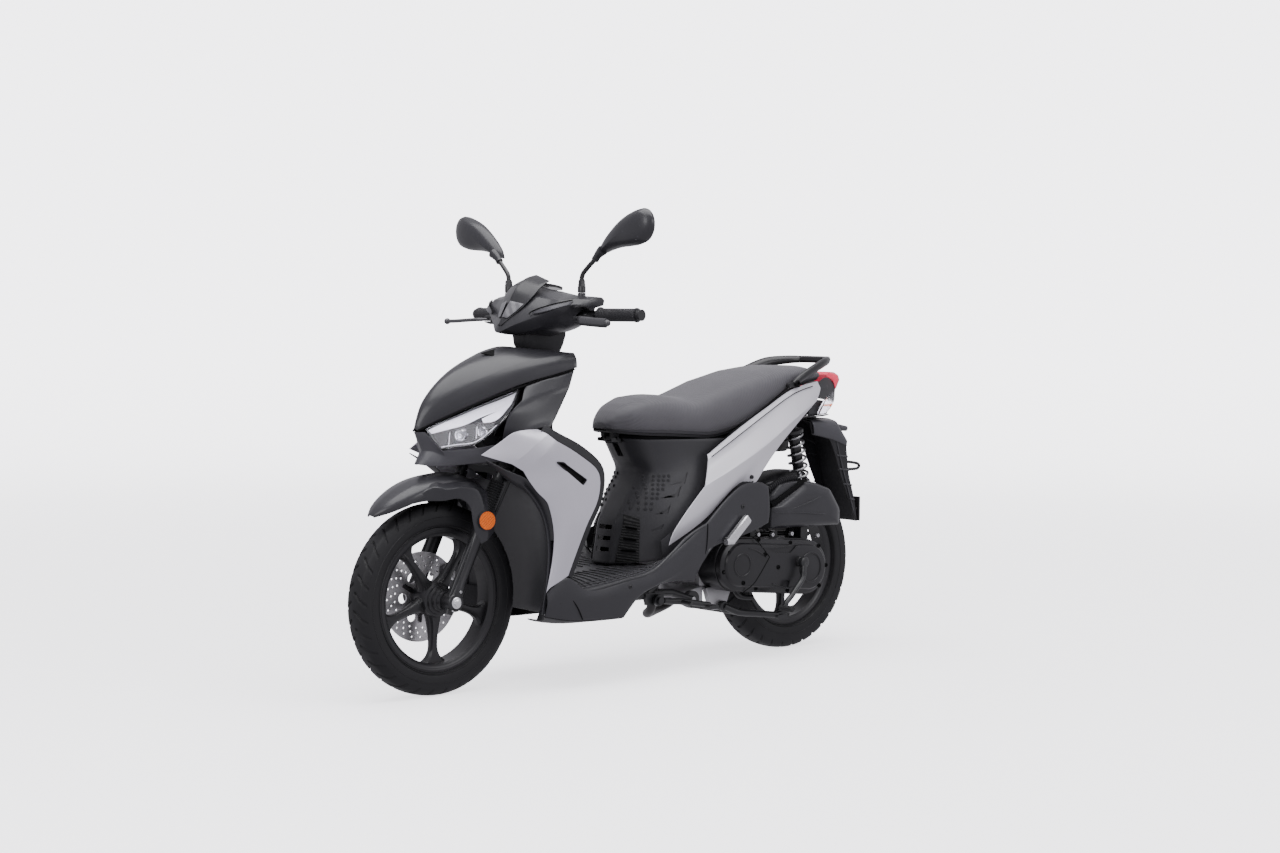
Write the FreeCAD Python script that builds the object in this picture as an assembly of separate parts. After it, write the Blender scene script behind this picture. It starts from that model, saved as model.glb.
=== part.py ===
"""Step-through scooter with a swinging engine unit, in millimetres.

+X points forwards, +Y to the rider's left and +Z up.  The origin is on the ground, midway between the
front tyre's front edge and the rear bracket's rear edge.  Every sub-part is written to parts/NODE.step.
"""
import FreeCAD
import Part
import math
import os

# ---- driving dimensions -------------------------------------------------------------------------------
OVERALL_LENGTH = 1870.0
FRONT_TYRE_RADIUS = 250.0
REAR_TYRE_RADIUS = 258.0
WHEELBASE = 1290.0
FRONT_AXLE_X = OVERALL_LENGTH / 2 - FRONT_TYRE_RADIUS
REAR_AXLE_X = FRONT_AXLE_X - WHEELBASE
RIM_SEAT_RADIUS = 178.0
RAKE_DEG = 25.5
TRAIL = 80.0
FORK_LEG_Y = 84.0
GRIP_Z = 988.0
GRIP_SWEEP_DEG = 8.0
LEVER_PIVOT = (350.0, 187.0)
SWING_PIVOT = (-150.0, 190.0)
CRANK = (-275.0, 284.0)
CLUTCH = (-556.0, 258.0)
KICK_PIVOT = (-508.0, 278.0)
SHOCK_Y = 101.0
SHOCK_LOWER = (-596.0, 432.0)
SHOCK_UPPER = (-540.0, 682.0)
SEAT_HINGE = (78.0, 648.0)
KEY_Y = -70.0
SIDE_STAND_PIVOT = (20.0, 206.0)
CENTRE_STAND_PIVOT = (CRANK[0], 160.0)
FOOTPEG_PIVOT = (-196.0, 358.0)
PEG_Y = 197.0
PANEL = 3.0
SHAFT_GAP = 0.05

V = FreeCAD.Vector
UP = V(0, 0, 1)
LEFT = V(0, 1, 0)
SIN_RAKE = math.sin(math.radians(RAKE_DEG))
COS_RAKE = math.cos(math.radians(RAKE_DEG))
STEER_UP = V(-SIN_RAKE, 0, COS_RAKE)
FORK_FORWARD = V(COS_RAKE, 0, SIN_RAKE)
STEER_GROUND = V(FRONT_AXLE_X + TRAIL, 0, 0)


# ---- shape helpers ------------------------------------------------------------------------------------
def steer_point(height):
    """The point of the steering axis at that height."""
    return STEER_GROUND + STEER_UP * (height / COS_RAKE)


def fork_point(along, y=0.0):
    """A point on a fork leg's axis, measured up the leg from the front axle."""
    return V(FRONT_AXLE_X, y, FRONT_TYRE_RADIUS) + STEER_UP * along


def rod(start, end, radius):
    span = end - start
    return Part.makeCylinder(radius, span.Length, start, span)


def tube(points, radius):
    """Straight round bars through the points, with a ball at each bend."""
    shape = rod(points[0], points[1], radius)
    for start, end in zip(points[1:-1], points[2:]):
        shape = shape.fuse(rod(start, end, radius)).fuse(Part.makeSphere(radius, start))
    return shape.removeSplitter()


def disc_y(x, z, radius, y0, y1):
    """A round plate or boss whose axis lies along Y."""
    return Part.makeCylinder(radius, y1 - y0, V(x, y0, z), LEFT)


def box(x0, x1, y0, y1, z0, z1):
    return Part.makeBox(x1 - x0, y1 - y0, z1 - z0, V(x0, y0, z0))


def prism_y(outline, y0, y1):
    """A side-view outline of (x, z) points, pulled from y0 to y1."""
    corners = [V(x, y0, z) for x, z in outline]
    face = Part.Face(Part.makePolygon(corners + corners[:1]))
    return face.extrude(V(0, y1 - y0, 0))


def ring_y(profile, x, z):
    """A profile of (y, radius) points turned about the Y axis through (x, z)."""
    corners = [V(x, y, z + radius) for y, radius in profile]
    face = Part.Face(Part.makePolygon(corners + corners[:1]))
    return face.revolve(V(x, 0, z), LEFT, 360)


def mirror(shape):
    return shape.mirror(V(0, 0, 0), LEFT)


def on_both_sides(shape):
    return Part.makeCompound([shape, mirror(shape)])


def slab(rows, offset):
    """A closed thin shell: a grid of (x, y, z) points, and the same grid moved by offset(point)."""
    outer = [[V(*p) for p in row] for row in rows]
    inner = [[p + offset(p) for p in row] for row in outer]
    faces = []

    def triangle(a, b, c):
        if (b - a).cross(c - a).Length > 1e-6:
            faces.append(Part.Face(Part.makePolygon([a, b, c, a])))

    def quad(a, b, c, d):
        triangle(a, b, c)
        triangle(a, c, d)

    last_row, last_col = len(outer) - 1, len(outer[0]) - 1
    for i in range(last_row):
        for j in range(last_col):
            quad(outer[i][j], outer[i + 1][j], outer[i + 1][j + 1], outer[i][j + 1])
            quad(inner[i][j], inner[i][j + 1], inner[i + 1][j + 1], inner[i + 1][j])
    for i in range(last_row):
        for j in (0, last_col):
            quad(outer[i][j], outer[i + 1][j], inner[i + 1][j], inner[i][j])
    for j in range(last_col):
        for i in (0, last_row):
            quad(outer[i][j], outer[i][j + 1], inner[i][j + 1], inner[i][j])
    shape = Part.Solid(Part.makeShell(faces))
    return shape if shape.Volume > 0 else shape.reversed()


def inward(thickness):
    """Moves a left-hand panel's inner skin towards the middle plane."""
    return lambda point: V(0, -thickness, 0)


def loft(sections):
    """A solid skinned straight between closed sections of (x, y, z) points."""
    wires = [Part.makePolygon([V(*p) for p in s] + [V(*s[0])]) for s in sections]
    return Part.makeLoft(wires, True, True)


def whole_row(half):
    """Completes a left-hand row of points, ending on the middle plane, with its mirror image."""
    return half + [(x, -y, z) for x, y, z in reversed(half[:-1])]


# ---- chassis ------------------------------------------------------------------------------------------
RAIL_RADIUS = 15.0
RAIL = [(330, 112, 222), (40, 112, 222), (-70, 118, 330), (-170, 118, 520), (-340, 117, 616),
        (-470, 78, 660), (-640, 62, 712)]
# x, half width, z and radius of each bar that joins the two rails
CROSS_BARS = [(330, 112, 222, 14.0), (-345, 117, 618, 11.0), (-622, 62, 706, 11.0)]
HEAD_TUBE = (655.0, 850.0)
HEAD_OUTER_RADIUS = 29.0
STEM_RADIUS = 15.0


def frame():
    """Two lower rails that rise to the tail, the head tube and downtube, and all their brackets."""
    rails = tube([V(*p) for p in RAIL], RAIL_RADIUS)
    rails = rails.fuse(mirror(rails))
    low, high = (steer_point(z) for z in HEAD_TUBE)
    head = rod(low, high, HEAD_OUTER_RADIUS)
    shape = head.fuse(tube([steer_point(715), V(352, 0, 545), V(345, 0, 290), V(318, 0, 226)], 20.0))
    shape = shape.fuse(rails)
    for x, half_width, z, radius in CROSS_BARS:
        shape = shape.fuse(rod(V(x, -half_width, z), V(x, half_width, z), radius))
    pivot_x, pivot_z = SWING_PIVOT
    peg_x, peg_z = FOOTPEG_PIVOT
    for side in (1, -1):
        lug = rod(V(pivot_x, side * 84, pivot_z), V(pivot_x, side * 100, pivot_z), 24.0)
        lug_arm = tube([V(pivot_x, side * 94, pivot_z), V(-70, side * 94, 215), V(10, side * 100, 222)], 11.0)
        peg_arm = tube(
            [V(-125, side * 120, 440), V(peg_x, side * 162, peg_z), V(peg_x, side * 180, peg_z)], 9.0)
        shape = shape.fuse(lug).fuse(lug_arm).fuse(peg_arm)
    shape = shape.fuse(disc_y(*SHOCK_UPPER, 6.0, 66, 120))
    shape = shape.fuse(side_stand_bracket())
    shape = shape.cut(rod(low - STEER_UP, high + STEER_UP, STEM_RADIUS + SHAFT_GAP))
    return shape.cut(disc_y(*SWING_PIVOT, 8.0 + SHAFT_GAP, -110, 110))


def side_stand_bracket():
    x, z = SIDE_STAND_PIVOT
    plate = prism_y([(-4, 192), (50, 192), (60, 226), (-10, 226)], 116, 132)
    bolt = disc_y(x, z, 6.0, 124, 150)
    return plate.fuse(bolt).fuse(disc_y(x, z, 10.0, 147, 154))


def fuel_tank():
    tank = box(-585, -380, -56, 56, 590, 648)
    tank = tank.makeFillet(16, tank.Edges)
    room = box(-582, -383, -53, 53, 593, 645)
    tank = tank.cut(room.makeFillet(13, room.Edges))
    neck = rod(V(-430, 0, 646), V(-430, 0, 700), 26.0)
    cap = rod(V(-430, 0, 700), V(-430, 0, 714), 32.0)
    return tank.fuse(neck).fuse(cap).cut(rod(V(-430, 0, 630), V(-430, 0, 701), 23.0))


HELMET_BOX = (-325.0, -52.0, 90.0, 480.0, 640.0)


def helmet_box():
    x0, x1, half_width, z0, z1 = HELMET_BOX
    shape = box(x0, x1, -half_width, half_width, z0, z1)
    shape = shape.cut(box(x0 + 4, x1 - 4, 4 - half_width, half_width - 4, z0 + 4, z1 + 1))
    arm = prism_y([(-56, 626), (-56, 590), (60, 634), (86, 634), (86, 640), (70, 642)], -9, 9)
    arm = arm.fuse(disc_y(*SEAT_HINGE, 9.0, -9, 9))
    pin = disc_y(*SEAT_HINGE, 4.0, -34, 34)
    return shape.fuse(arm).fuse(pin)


# ---- body panels --------------------------------------------------------------------------------------
def nose_brow():
    left = [
        [(742, 9, 689), (744, 5, 691), (746, 0, 692)],
        [(687, 40, 719), (700, 30, 752), (714, 0, 766)],
        [(600, 80, 760), (612, 62, 806), (635, 0, 837)],
        [(484, 125, 809), (500, 98, 852), (530, 0, 884)],
        [(400, 152, 833), (420, 125, 872), (465, 0, 900)],
        [(345, 171, 850), (339, 155, 884), (432, 0, 898)],
    ]
    return slab([whole_row(row) for row in left], lambda p: V(0, 0, -PANEL))


CHIN_ROWS = [
    [(560, 128, 652), (622, 100, 642), (696, 50, 634), (743, 0, 680)],
    [(548, 136, 634), (612, 104, 622), (694, 54, 612), (742, 0, 630)],
    [(540, 122, 608), (600, 95, 604), (690, 46, 592), (736, 0, 600)],
]


def front_cowl():
    side = [
        [(484, 125, 803), (435, 141, 820), (390, 154, 831), (352, 167, 844)],
        [(512, 138, 765), (460, 150, 776), (420, 162, 782), (380, 173, 786)],
        [(556, 139, 722), (510, 151, 720), (460, 164, 712), (420, 174, 720)],
        [(562, 130, 655), (530, 150, 672), (490, 164, 690), (438, 176, 696)],
    ]
    chin = slab([whole_row(row) for row in CHIN_ROWS], lambda p: V(-PANEL, 0, 0))
    return Part.makeCompound([chin, *on_both_sides(slab(side, inward(PANEL))).Solids])


def headlight_layer(y_shift, depth):
    """One layer of a lamp, filling the opening between the brow and the chin."""
    face = [
        [(727, 20, 692), (687, 42, 713), (600, 82, 753), (506, 126, 795)],
        [(712, 34, 665), (672, 60, 684), (610, 98, 706), (530, 134, 752)],
        [(698, 50, 640), (665, 72, 646), (622, 104, 656), (560, 134, 716)],
    ]
    moved = [[(x, y + y_shift, z) for x, y, z in row] for row in face]
    return slab(moved, lambda p: V(-depth * 0.6, -depth, 0))


def headlight_unit():
    """A clear lens and a housing behind it on each side."""
    lens, housing = headlight_layer(-1.0, 3.0), headlight_layer(-6.0, 11.0)
    return Part.makeCompound([lens, housing, mirror(lens), mirror(housing)])


def leg_panel():
    rows = [
        [(650, 160, 630), (560, 186, 682), (484, 192, 687)],
        [(645, 164, 618), (540, 200, 640), (452, 208, 664)],
        [(524, 194, 562), (460, 214, 590), (316, 228, 574)],
        [(467, 204, 497), (400, 222, 510), (319, 230, 508)],
        [(445, 200, 403), (420, 218, 430), (356, 226, 436)],
        [(468, 198, 268), (440, 206, 290), (403, 210, 309)],
    ]
    shape = slab(rows, inward(PANEL))
    vent = prism_y([(470, 607), (460, 592), (378, 545), (374, 562)], 150, 260)
    return shape.cut(vent)


def inner_leg_shield():
    left = [
        [(398, 196, 288), (352, 110, 292), (316, 0, 296)],
        [(352, 214, 430), (322, 120, 430), (298, 0, 430)],
        [(314, 220, 510), (306, 120, 510), (290, 0, 510)],
        [(312, 220, 575), (312, 120, 575), (292, 0, 575)],
        [(368, 190, 636), (352, 100, 636), (302, 0, 636)],
        [(426, 168, 694), (364, 90, 694), (310, 0, 694)],
        [(376, 164, 780), (336, 100, 780), (308, 0, 780)],
        [(334, 156, 866), (320, 100, 872), (306, 0, 876)],
    ]
    skin = slab([whole_row(row) for row in left], lambda p: V(PANEL, 0, 0))
    ring = rod(V(320, KEY_Y, 797.3), V(286, KEY_Y, 802.4), 13.0)
    return skin.fuse(ring).cut(rod(V(325, KEY_Y, 796.5), V(280, KEY_Y, 803.3), 8.5))


def wheel_arch():
    left = [
        [(478, 190, 212), (430, 184, 204), (404, 100, 200), (396, 0, 200)],
        [(466, 194, 300), (424, 184, 300), (398, 100, 300), (390, 0, 300)],
        [(462, 194, 400), (432, 182, 400), (410, 100, 415), (402, 0, 415)],
        [(482, 190, 480), (452, 178, 480), (430, 100, 500), (420, 0, 500)],
        [(538, 182, 550), (500, 168, 545), (434, 100, 543), (426, 0, 543)],
    ]
    return slab([whole_row(row) for row in left], lambda p: V(-PANEL, 0, 0))


def floorboard():
    """The floor, and on each side a strip that rises beside the centre cover."""
    left = [
        [(392, 194, 258), (346, 110, 286), (313, 0, 290)],
        [(296, 198, 268), (290, 100, 284), (280, 0, 286)],
        [(200, 198, 281), (200, 100, 288), (200, 0, 288)],
        [(100, 196, 298), (100, 100, 296), (100, 0, 296)],
        [(20, 190, 342), (20, 122, 304), (20, 0, 304)],
    ]
    strip = [
        [(19.5, 190, 342.3), (19.5, 156, 323.3), (19.5, 124, 305)],
        [(-40, 184, 378), (-38, 170, 350), (-36, 157, 322)],
        [(-110, 182, 408), (-108, 177, 396), (-106, 172, 386)],
    ]
    deck = slab([whole_row(row) for row in left], lambda p: V(0, 0, -PANEL))
    return Part.makeCompound([deck, *on_both_sides(slab(strip, lambda p: V(0, 0, -PANEL))).Solids])


def lower_cover():
    rows = [
        [(462, 196, 262), (392, 202, 254), (300, 203, 262), (200, 202, 277), (110, 201, 292), (22, 196, 338),
         (-124, 184, 414), (-250, 178, 500), (-330, 176, 508), (-372, 174, 496)],
        [(464, 202, 235), (392, 207, 228), (300, 208, 232), (200, 207, 240), (110, 206, 262), (10, 202, 290),
         (-110, 192, 350), (-240, 184, 420), (-320, 180, 440), (-376, 177, 440)],
        [(470, 196, 206), (392, 200, 190), (300, 200, 182), (200, 200, 180), (150, 200, 232), (64, 198, 260),
         (-66, 194, 258), (-118, 188, 335), (-300, 180, 378), (-372, 176, 400)],
    ]
    belly = [
        [(470, 192, 204), (392, 196, 188), (300, 196, 180), (200, 196, 178)],
        [(440, 150, 188), (392, 150, 176), (300, 150, 172), (200, 150, 172)],
        [(420, 62, 180), (392, 62, 172), (300, 62, 170), (200, 62, 170)],
    ]
    side = slab(rows, inward(PANEL)).cut(disc_y(*FOOTPEG_PIVOT, 13.0, 150, 230))
    return Part.makeCompound([side, slab(belly, lambda p: V(0, 0, PANEL))])


def centre_cover():
    left = [
        [(-30, 150, 318), (54, 100, 309), (110, 37, 304), (112, 0, 304)],
        [(-70, 146, 422), (30, 100, 422), (86, 35, 422), (88, 0, 422)],
        [(-200, 142, 550), (-20, 88, 550), (5, 30, 550), (6, 0, 550)],
        [(-300, 138, 636), (20, 88, 636), (62, 40, 636), (68, 0, 636)],
    ]
    shape = slab([whole_row(row) for row in left], lambda p: V(-PANEL, 0, 0))
    hinge_slot = box(-40, 110, -12, 12, 596, 650)
    for step in range(3):
        base = 345 + 27 * step
        front_slot = box(60, 130, -26, 26, base, base + 9)
        side_slot = prism_y([(95, base), (44, base - 2), (44, base + 8), (95, base + 10)], 30, 120)
        shape = shape.cut(front_slot).cut(side_slot).cut(mirror(side_slot))
    return shape.cut(hinge_slot)


def side_panel():
    rows = [
        [(-150, 152, 601), (-272, 153, 671), (-392, 146, 728), (-500, 134, 774), (-632, 116, 797)],
        [(-138, 164, 560), (-260, 164, 625), (-385, 157, 690), (-500, 145, 742), (-640, 120, 776)],
        [(-128, 167, 524), (-240, 168, 580), (-370, 162, 640), (-490, 149, 700), (-622, 118, 742)],
        [(-15, 168, 403), (-190, 170, 500), (-300, 167, 560), (-383, 160, 590), (-500, 140, 662)],
        [(0, 166, 357), (-139, 168, 424), (-270, 168, 514), (-338, 166, 514), (-383, 158, 574)],
    ]
    return slab(rows, inward(PANEL))


def tail_cover():
    top = [
        [(-640, 113, 772), (-640, 100, 786), (-640, 40, 788), (-640, 0, 789)],
        [(-697, 98, 776), (-697, 90, 792), (-697, 40, 797), (-697, 0, 798)],
    ]
    under = [
        [(-620, 98, 692), (-620, 60, 686), (-620, 0, 684)],
        [(-680, 86, 694), (-676, 50, 688), (-676, 0, 686)],
        [(-730, 72, 696), (-726, 50, 690), (-726, 0, 688)],
    ]
    side = [
        [(-642, 112, 768), (-696, 96, 772), (-748, 80, 776)],
        [(-634, 112, 752), (-690, 96, 744), (-740, 80, 736)],
    ]
    roof = slab([whole_row(row) for row in top], lambda p: V(0, 0, -PANEL))
    floor = slab([whole_row(row) for row in under], lambda p: V(0, 0, PANEL))
    return Part.makeCompound([roof, floor, *on_both_sides(slab(side, inward(PANEL))).Solids])


def tail_light():
    """The red lens, and the clear indicator lens under it on each side."""
    stations = [(-84, -702, -758, 0), (-72, -735, -775, 1), (-40, -770, -806, 3), (0, -778, -838, 4)]
    sections = []
    for y, front, rear, drop in stations + [(-y, *rest) for y, *rest in reversed(stations[:-1])]:
        sections.append([
            (front, y, 782 - drop), (rear + 14, y, 782 - drop), (rear, y, 812), (front - 10, y, 824)])
    red = loft(sections)
    clear = slab([
        [(-664, 104, 716), (-700, 92, 716), (-738, 80, 718)],
        [(-672, 103, 738), (-706, 92, 736), (-744, 80, 732)],
    ], inward(4.0))
    return Part.makeCompound([red, *on_both_sides(clear).Solids])


def grab_rail():
    path = [V(-515, 131, 792), V(-560, 131, 812), V(-650, 115, 852), V(-715, 70, 858), V(-730, 0, 858)]
    side = tube(path, 9.0)
    foot = box(-535, -490, 124, 137, 783, 800)
    bridge = box(-752, -722, -45, 45, 857, 867)
    shape = side.fuse(foot).fuse(mirror(side.fuse(foot))).fuse(bridge)
    for y in (-30, 30):
        shape = shape.cut(rod(V(-737, y, 840), V(-737, y, 880), 3.2))
    return shape


def rear_mudguard():
    shield = [
        [(-660, 64, 676), (-660, 30, 682), (-660, 0, 684)],
        [(-770, 66, 664), (-775, 34, 676), (-778, 0, 678)],
        [(-812, 66, 612), (-820, 34, 616), (-822, 0, 618)],
        [(-832, 62, 520), (-840, 34, 520), (-842, 0, 520)],
        [(-862, 58, 440), (-870, 34, 440), (-872, 0, 440)],
        [(-882, 54, 366), (-890, 34, 366), (-892, 0, 366)],
    ]
    skin = slab([whole_row(row) for row in shield], lambda p: V(PANEL, 0, -PANEL))
    plate = box(-900, -893, -50, 50, 366, 440)
    for y in (-40, 40):
        plate = plate.cut(rod(V(-930, y, 403), V(-890, y, 403), 3.0))
    stay = box(-894, -868, -20, 20, 426, 438)
    loop = tube(
        [V(-840, 16, 526), V(-925, 16, 524), V(-930, 0, 524), V(-925, -16, 524), V(-840, -16, 526)], 5.0)
    return skin.fuse(plate).fuse(stay).fuse(loop)


# ---- steering -----------------------------------------------------------------------------------------
CROWN = (372.0, 398.0)
GRIP_START_Y = 205.0
GRIP_END_Y = 332.0
BAR_RADIUS = 11.0
GRIP_CENTRE = V(300, 180, GRIP_Z)
GRIP_ALONG = V(-math.sin(math.radians(GRIP_SWEEP_DEG)), math.cos(math.radians(GRIP_SWEEP_DEG)), 0)


def bar_point(y):
    """A point on the left-hand grip's axis at that distance from the middle plane."""
    return GRIP_CENTRE + GRIP_ALONG * ((y - GRIP_CENTRE.y) / GRIP_ALONG.y)


def steering_stem():
    stem = rod(steer_point(600), steer_point(958), STEM_RADIUS)
    low, high = CROWN
    crown = None
    for side in (1, -1):
        leg = fork_point(low, side * FORK_LEG_Y)
        post = rod(leg, leg + STEER_UP * (high - low), 24.0)
        crown = post if crown is None else crown.fuse(post)
    middle = fork_point(low) - FORK_FORWARD * 36
    crown = crown.fuse(rod(middle, middle + STEER_UP * (high - low), 30.0))
    bridge = Part.makeBox(58, 2 * FORK_LEG_Y, high - low)
    bridge.Placement = FreeCAD.Placement(
        fork_point(low, -FORK_LEG_Y) - FORK_FORWARD * 42, FreeCAD.Rotation(LEFT, -RAKE_DEG))
    crown = crown.fuse(bridge)
    for side in (1, -1):
        tube_y = side * FORK_LEG_Y
        crown = crown.fuse(rod(fork_point(92, tube_y), fork_point(low + 5, tube_y), 14.0))
    return stem.fuse(crown)


def handlebar(stem):
    side = tube(
        [V(306, 0, 958), V(312, 60, 962), V(306, 120, 980), bar_point(160), bar_point(341)], BAR_RADIUS)
    clamp = rod(steer_point(945), steer_point(968), 22.0)
    bar_end = rod(bar_point(335), bar_point(347), 15.0)
    return side.fuse(bar_end).fuse(mirror(side.fuse(bar_end))).fuse(clamp).cut(stem)


def grip(start_y):
    outer = rod(bar_point(start_y), bar_point(GRIP_END_Y), 17.0)
    flange = rod(bar_point(start_y), bar_point(start_y + 5), 21.0)
    collar = rod(bar_point(GRIP_END_Y - 4), bar_point(GRIP_END_Y), 19.0)
    bore = rod(bar_point(start_y - 5), bar_point(GRIP_END_Y + 5), BAR_RADIUS + SHAFT_GAP)
    return outer.fuse(flange).fuse(collar).cut(bore)


DIAL_RADIUS = 40.0
HEADSET_SECTIONS = {
    0: [(480, 938), (446, 1004), (414, 1050), (346, 1070),
        (282, 1056), (262, 1000), (266, 940), (330, 930)],
    45: [(456, 942), (436, 1004), (400, 1036), (346, 1054),
         (280, 1048), (262, 1000), (266, 944), (330, 934)],
    110: [(424, 950), (412, 1004), (380, 1026), (336, 1038),
          (280, 1038), (264, 1010), (268, 968), (330, 944)],
    158: [(398, 958), (402, 1008), (370, 1026), (332, 1036),
          (284, 1036), (268, 1018), (268, 976), (330, 950)],
    170: [(358, 1014), (354, 1018), (340, 1028), (318, 1035),
          (288, 1035), (276, 1026), (278, 1016), (314, 1013)],
    204: [(336, 1014), (332, 1018), (322, 1026), (308, 1032),
          (290, 1032), (282, 1026), (284, 1016), (308, 1013)],
}


def dial_disc(radius, height):
    """A disc in the tilted plane of the instruments."""
    disc = Part.makeCylinder(radius, height, V(0, 0, 0), UP)
    disc.Placement = FreeCAD.Placement(V(306, 0, 1060), FreeCAD.Rotation(LEFT, -10))
    return disc


def headset_cover():
    """The shell over the handlebar, hollow inside, with the neck that covers the stem below it."""
    stations = [-y for y in sorted(HEADSET_SECTIONS, reverse=True) if y] + sorted(HEADSET_SECTIONS)
    outer = loft([[(x, y, z) for x, z in HEADSET_SECTIONS[abs(y)]] for y in stations])
    neck = loft([
        [(384, 36, 884), (384, -36, 884), (290, -42, 884), (290, 42, 884)],
        [(400, 42, 906), (400, -42, 906), (284, -50, 906), (284, 50, 906)],
        [(404, 44, 946), (404, -44, 946), (274, -50, 946), (274, 50, 946)],
    ])
    neck = neck.cut(loft([
        [(378, 31, 880), (378, -31, 880), (296, -37, 880), (296, 37, 880)],
        [(395, 37, 906), (395, -37, 906), (290, -45, 906), (290, 45, 906)],
        [(398, 38, 990), (398, -38, 990), (280, -44, 990), (280, 44, 990)],
    ]))
    hollow = loft([[(318 + (x - 318) * 0.93, y * 0.9, 992 + (z - 992) * 0.88)
                    for x, z in HEADSET_SECTIONS[abs(y)]] for y in stations])
    shape = outer.cut(hollow).fuse(neck)
    shape = shape.cut(box(270, 408, -40, 40, 925, 975)).cut(dial_disc(DIAL_RADIUS + 0.3, 20.0))
    for side in (1, -1):
        ends = [(V(p.x, side * p.y, p.z)) for p in (bar_point(120), bar_point(240))]
        shape = shape.cut(rod(*ends, 19.0))
        shape = shape.fuse(rod(V(317, side * 154, 1026), V(317, side * 154, 1045.7), 10.0))
    return shape


def instrument_cluster():
    """The round dial, and the small dark screen in front of it."""
    rows = [
        [(424, 38, 1042), (432, 0, 1054)],
        [(392, 54, 1063), (388, 0, 1079)],
        [(352, 58, 1077), (346, 0, 1091)],
    ]
    screen = slab([whole_row(row) for row in rows], lambda p: V(0, 0, PANEL))
    return Part.makeCompound([dial_disc(DIAL_RADIUS, 5.0), screen])


def switchgear(side):
    """The switch housing beside the grip, with the lever's clamp and perch in front of it."""
    ring = rod(bar_point(178), bar_point(200), 22.0)
    body = Part.makeBox(40, 26, 40, V(278, 176, 960))
    perch = Part.makeBox(42, 28, 22, V(318, 174, 962))
    shape = ring.fuse(body).fuse(perch)
    shape = shape.cut(rod(bar_point(170), bar_point(210), BAR_RADIUS + SHAFT_GAP))
    shape = shape.cut(box(338, 400, 140, 240, 968, 978))
    shape = shape.cut(rod(V(*LEVER_PIVOT, 950), V(*LEVER_PIVOT, 990), 4.0 + SHAFT_GAP))
    shape = shape.cut(Part.makeCylinder(5.0 + SHAFT_GAP, 10, V(284.5, 189, 970), V(-1, 0, 0)))
    return shape if side > 0 else mirror(shape)


def button(side):
    shape = Part.makeCylinder(5.0, 7, V(281, 189, 970), V(-1, 0, 0))
    return shape if side > 0 else mirror(shape)


def brake_lever(side):
    eye = Part.makeCylinder(9, 8, V(*LEVER_PIVOT, 969), UP)
    pin = Part.makeCylinder(4.0, 24, V(*LEVER_PIVOT, 961), UP)
    blade = loft([
        [(352, 190, 969), (352, 190, 977), (364, 182, 977), (364, 182, 969)],
        [(376, 214, 968), (376, 214, 977), (388, 210, 977), (388, 210, 968)],
        [(378, 290, 964), (378, 290, 973), (390, 290, 973), (390, 290, 964)],
        [(384, 334, 963), (384, 334, 970), (393, 333, 970), (393, 333, 963)],
    ])
    ball = Part.makeSphere(9, V(388, 338, 967))
    shape = eye.fuse(pin).fuse(blade).fuse(ball)
    return shape if side > 0 else mirror(shape)


def mirror_unit(side):
    """Stem, joint boss and shell, turned about the stem's base."""
    base = rod(V(317, 154, 1046), V(317, 154, 1080), 8.5)
    stem = tube([V(317, 154, 1076), V(317, 158, 1092), V(312, 236, 1156)], 5.5)
    outline = [(202, 1141), (284, 1165), (360, 1170), (392, 1182), (410, 1204), (411, 1234), (396, 1256),
               (374, 1263), (330, 1252), (288, 1231), (240, 1194), (200, 1150)]
    centre_y, centre_z = 320.0, 1204.0

    def section(x, share):
        return [(x, centre_y + (y - centre_y) * share, centre_z + (z - centre_z) * share) for y, z in outline]

    shell = loft([section(290, 0.97), section(300, 1.0), section(316, 0.84), section(326, 0.5)])
    shape = base.fuse(stem).fuse(shell)
    return shape if side > 0 else mirror(shape)


CABLE_RADIUS = 3.5
# From the drive beside the front hub, up behind the left fork leg, past the crown, to the dial.
CABLE_ROUTE = [(664, 56, 262), (643, 57, 287), (619, 64, 328), (596, 75, 374), (574, 85, 421), (553, 92, 470),
               (532, 100, 520), (513, 111, 570), (489, 115, 618), (463, 106, 664), (440, 89, 712),
               (418, 68, 760), (396, 49, 806), (373, 34, 852), (355, 24, 898), (346, 21, 944), (337, 20, 990),
               (322, 18, 1030)]


def corner_radius(before, corner, after):
    """The radius that 0.45 of the shorter run allows, and the length that the arc takes off each run."""
    cut = 0.45 * min((corner - before).Length, (after - corner).Length)
    turn = (corner - before).getAngle(after - corner)
    return cut / math.tan(turn / 2), cut


def speedometer_cable():
    """Straight runs joined by tangent arcs."""
    points = [V(*p) for p in CABLE_ROUTE]
    edges = []
    start = points[0]
    smallest = math.inf
    for before, corner, after in zip(points, points[1:], points[2:]):
        radius, cut = corner_radius(before, corner, after)
        smallest = min(smallest, radius)
        into = (corner - before).normalize()
        out = (after - corner).normalize()
        enter, leave = corner - into * cut, corner + out * cut
        centre_way = (out - into).normalize()
        centre = corner + centre_way * math.hypot(radius, cut)
        middle = centre - centre_way * radius
        edges += [Part.LineSegment(start, enter).toShape(), Part.Arc(enter, middle, leave).toShape()]
        start = leave
    edges.append(Part.LineSegment(start, points[-1]).toShape())
    path = Part.Wire(edges)
    ring = Part.Wire(Part.makeCircle(CABLE_RADIUS, points[0], points[1] - points[0]))
    shape = path.makePipeShell([ring], True, False)
    expected = math.pi * CABLE_RADIUS ** 2 * path.Length
    print("cable: smallest radius", round(smallest), "volume ratio", round(shape.Volume / expected, 4))
    return shape


# ---- front suspension and wheel -----------------------------------------------------------------------
AXLE_RADIUS = 7.5


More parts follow.
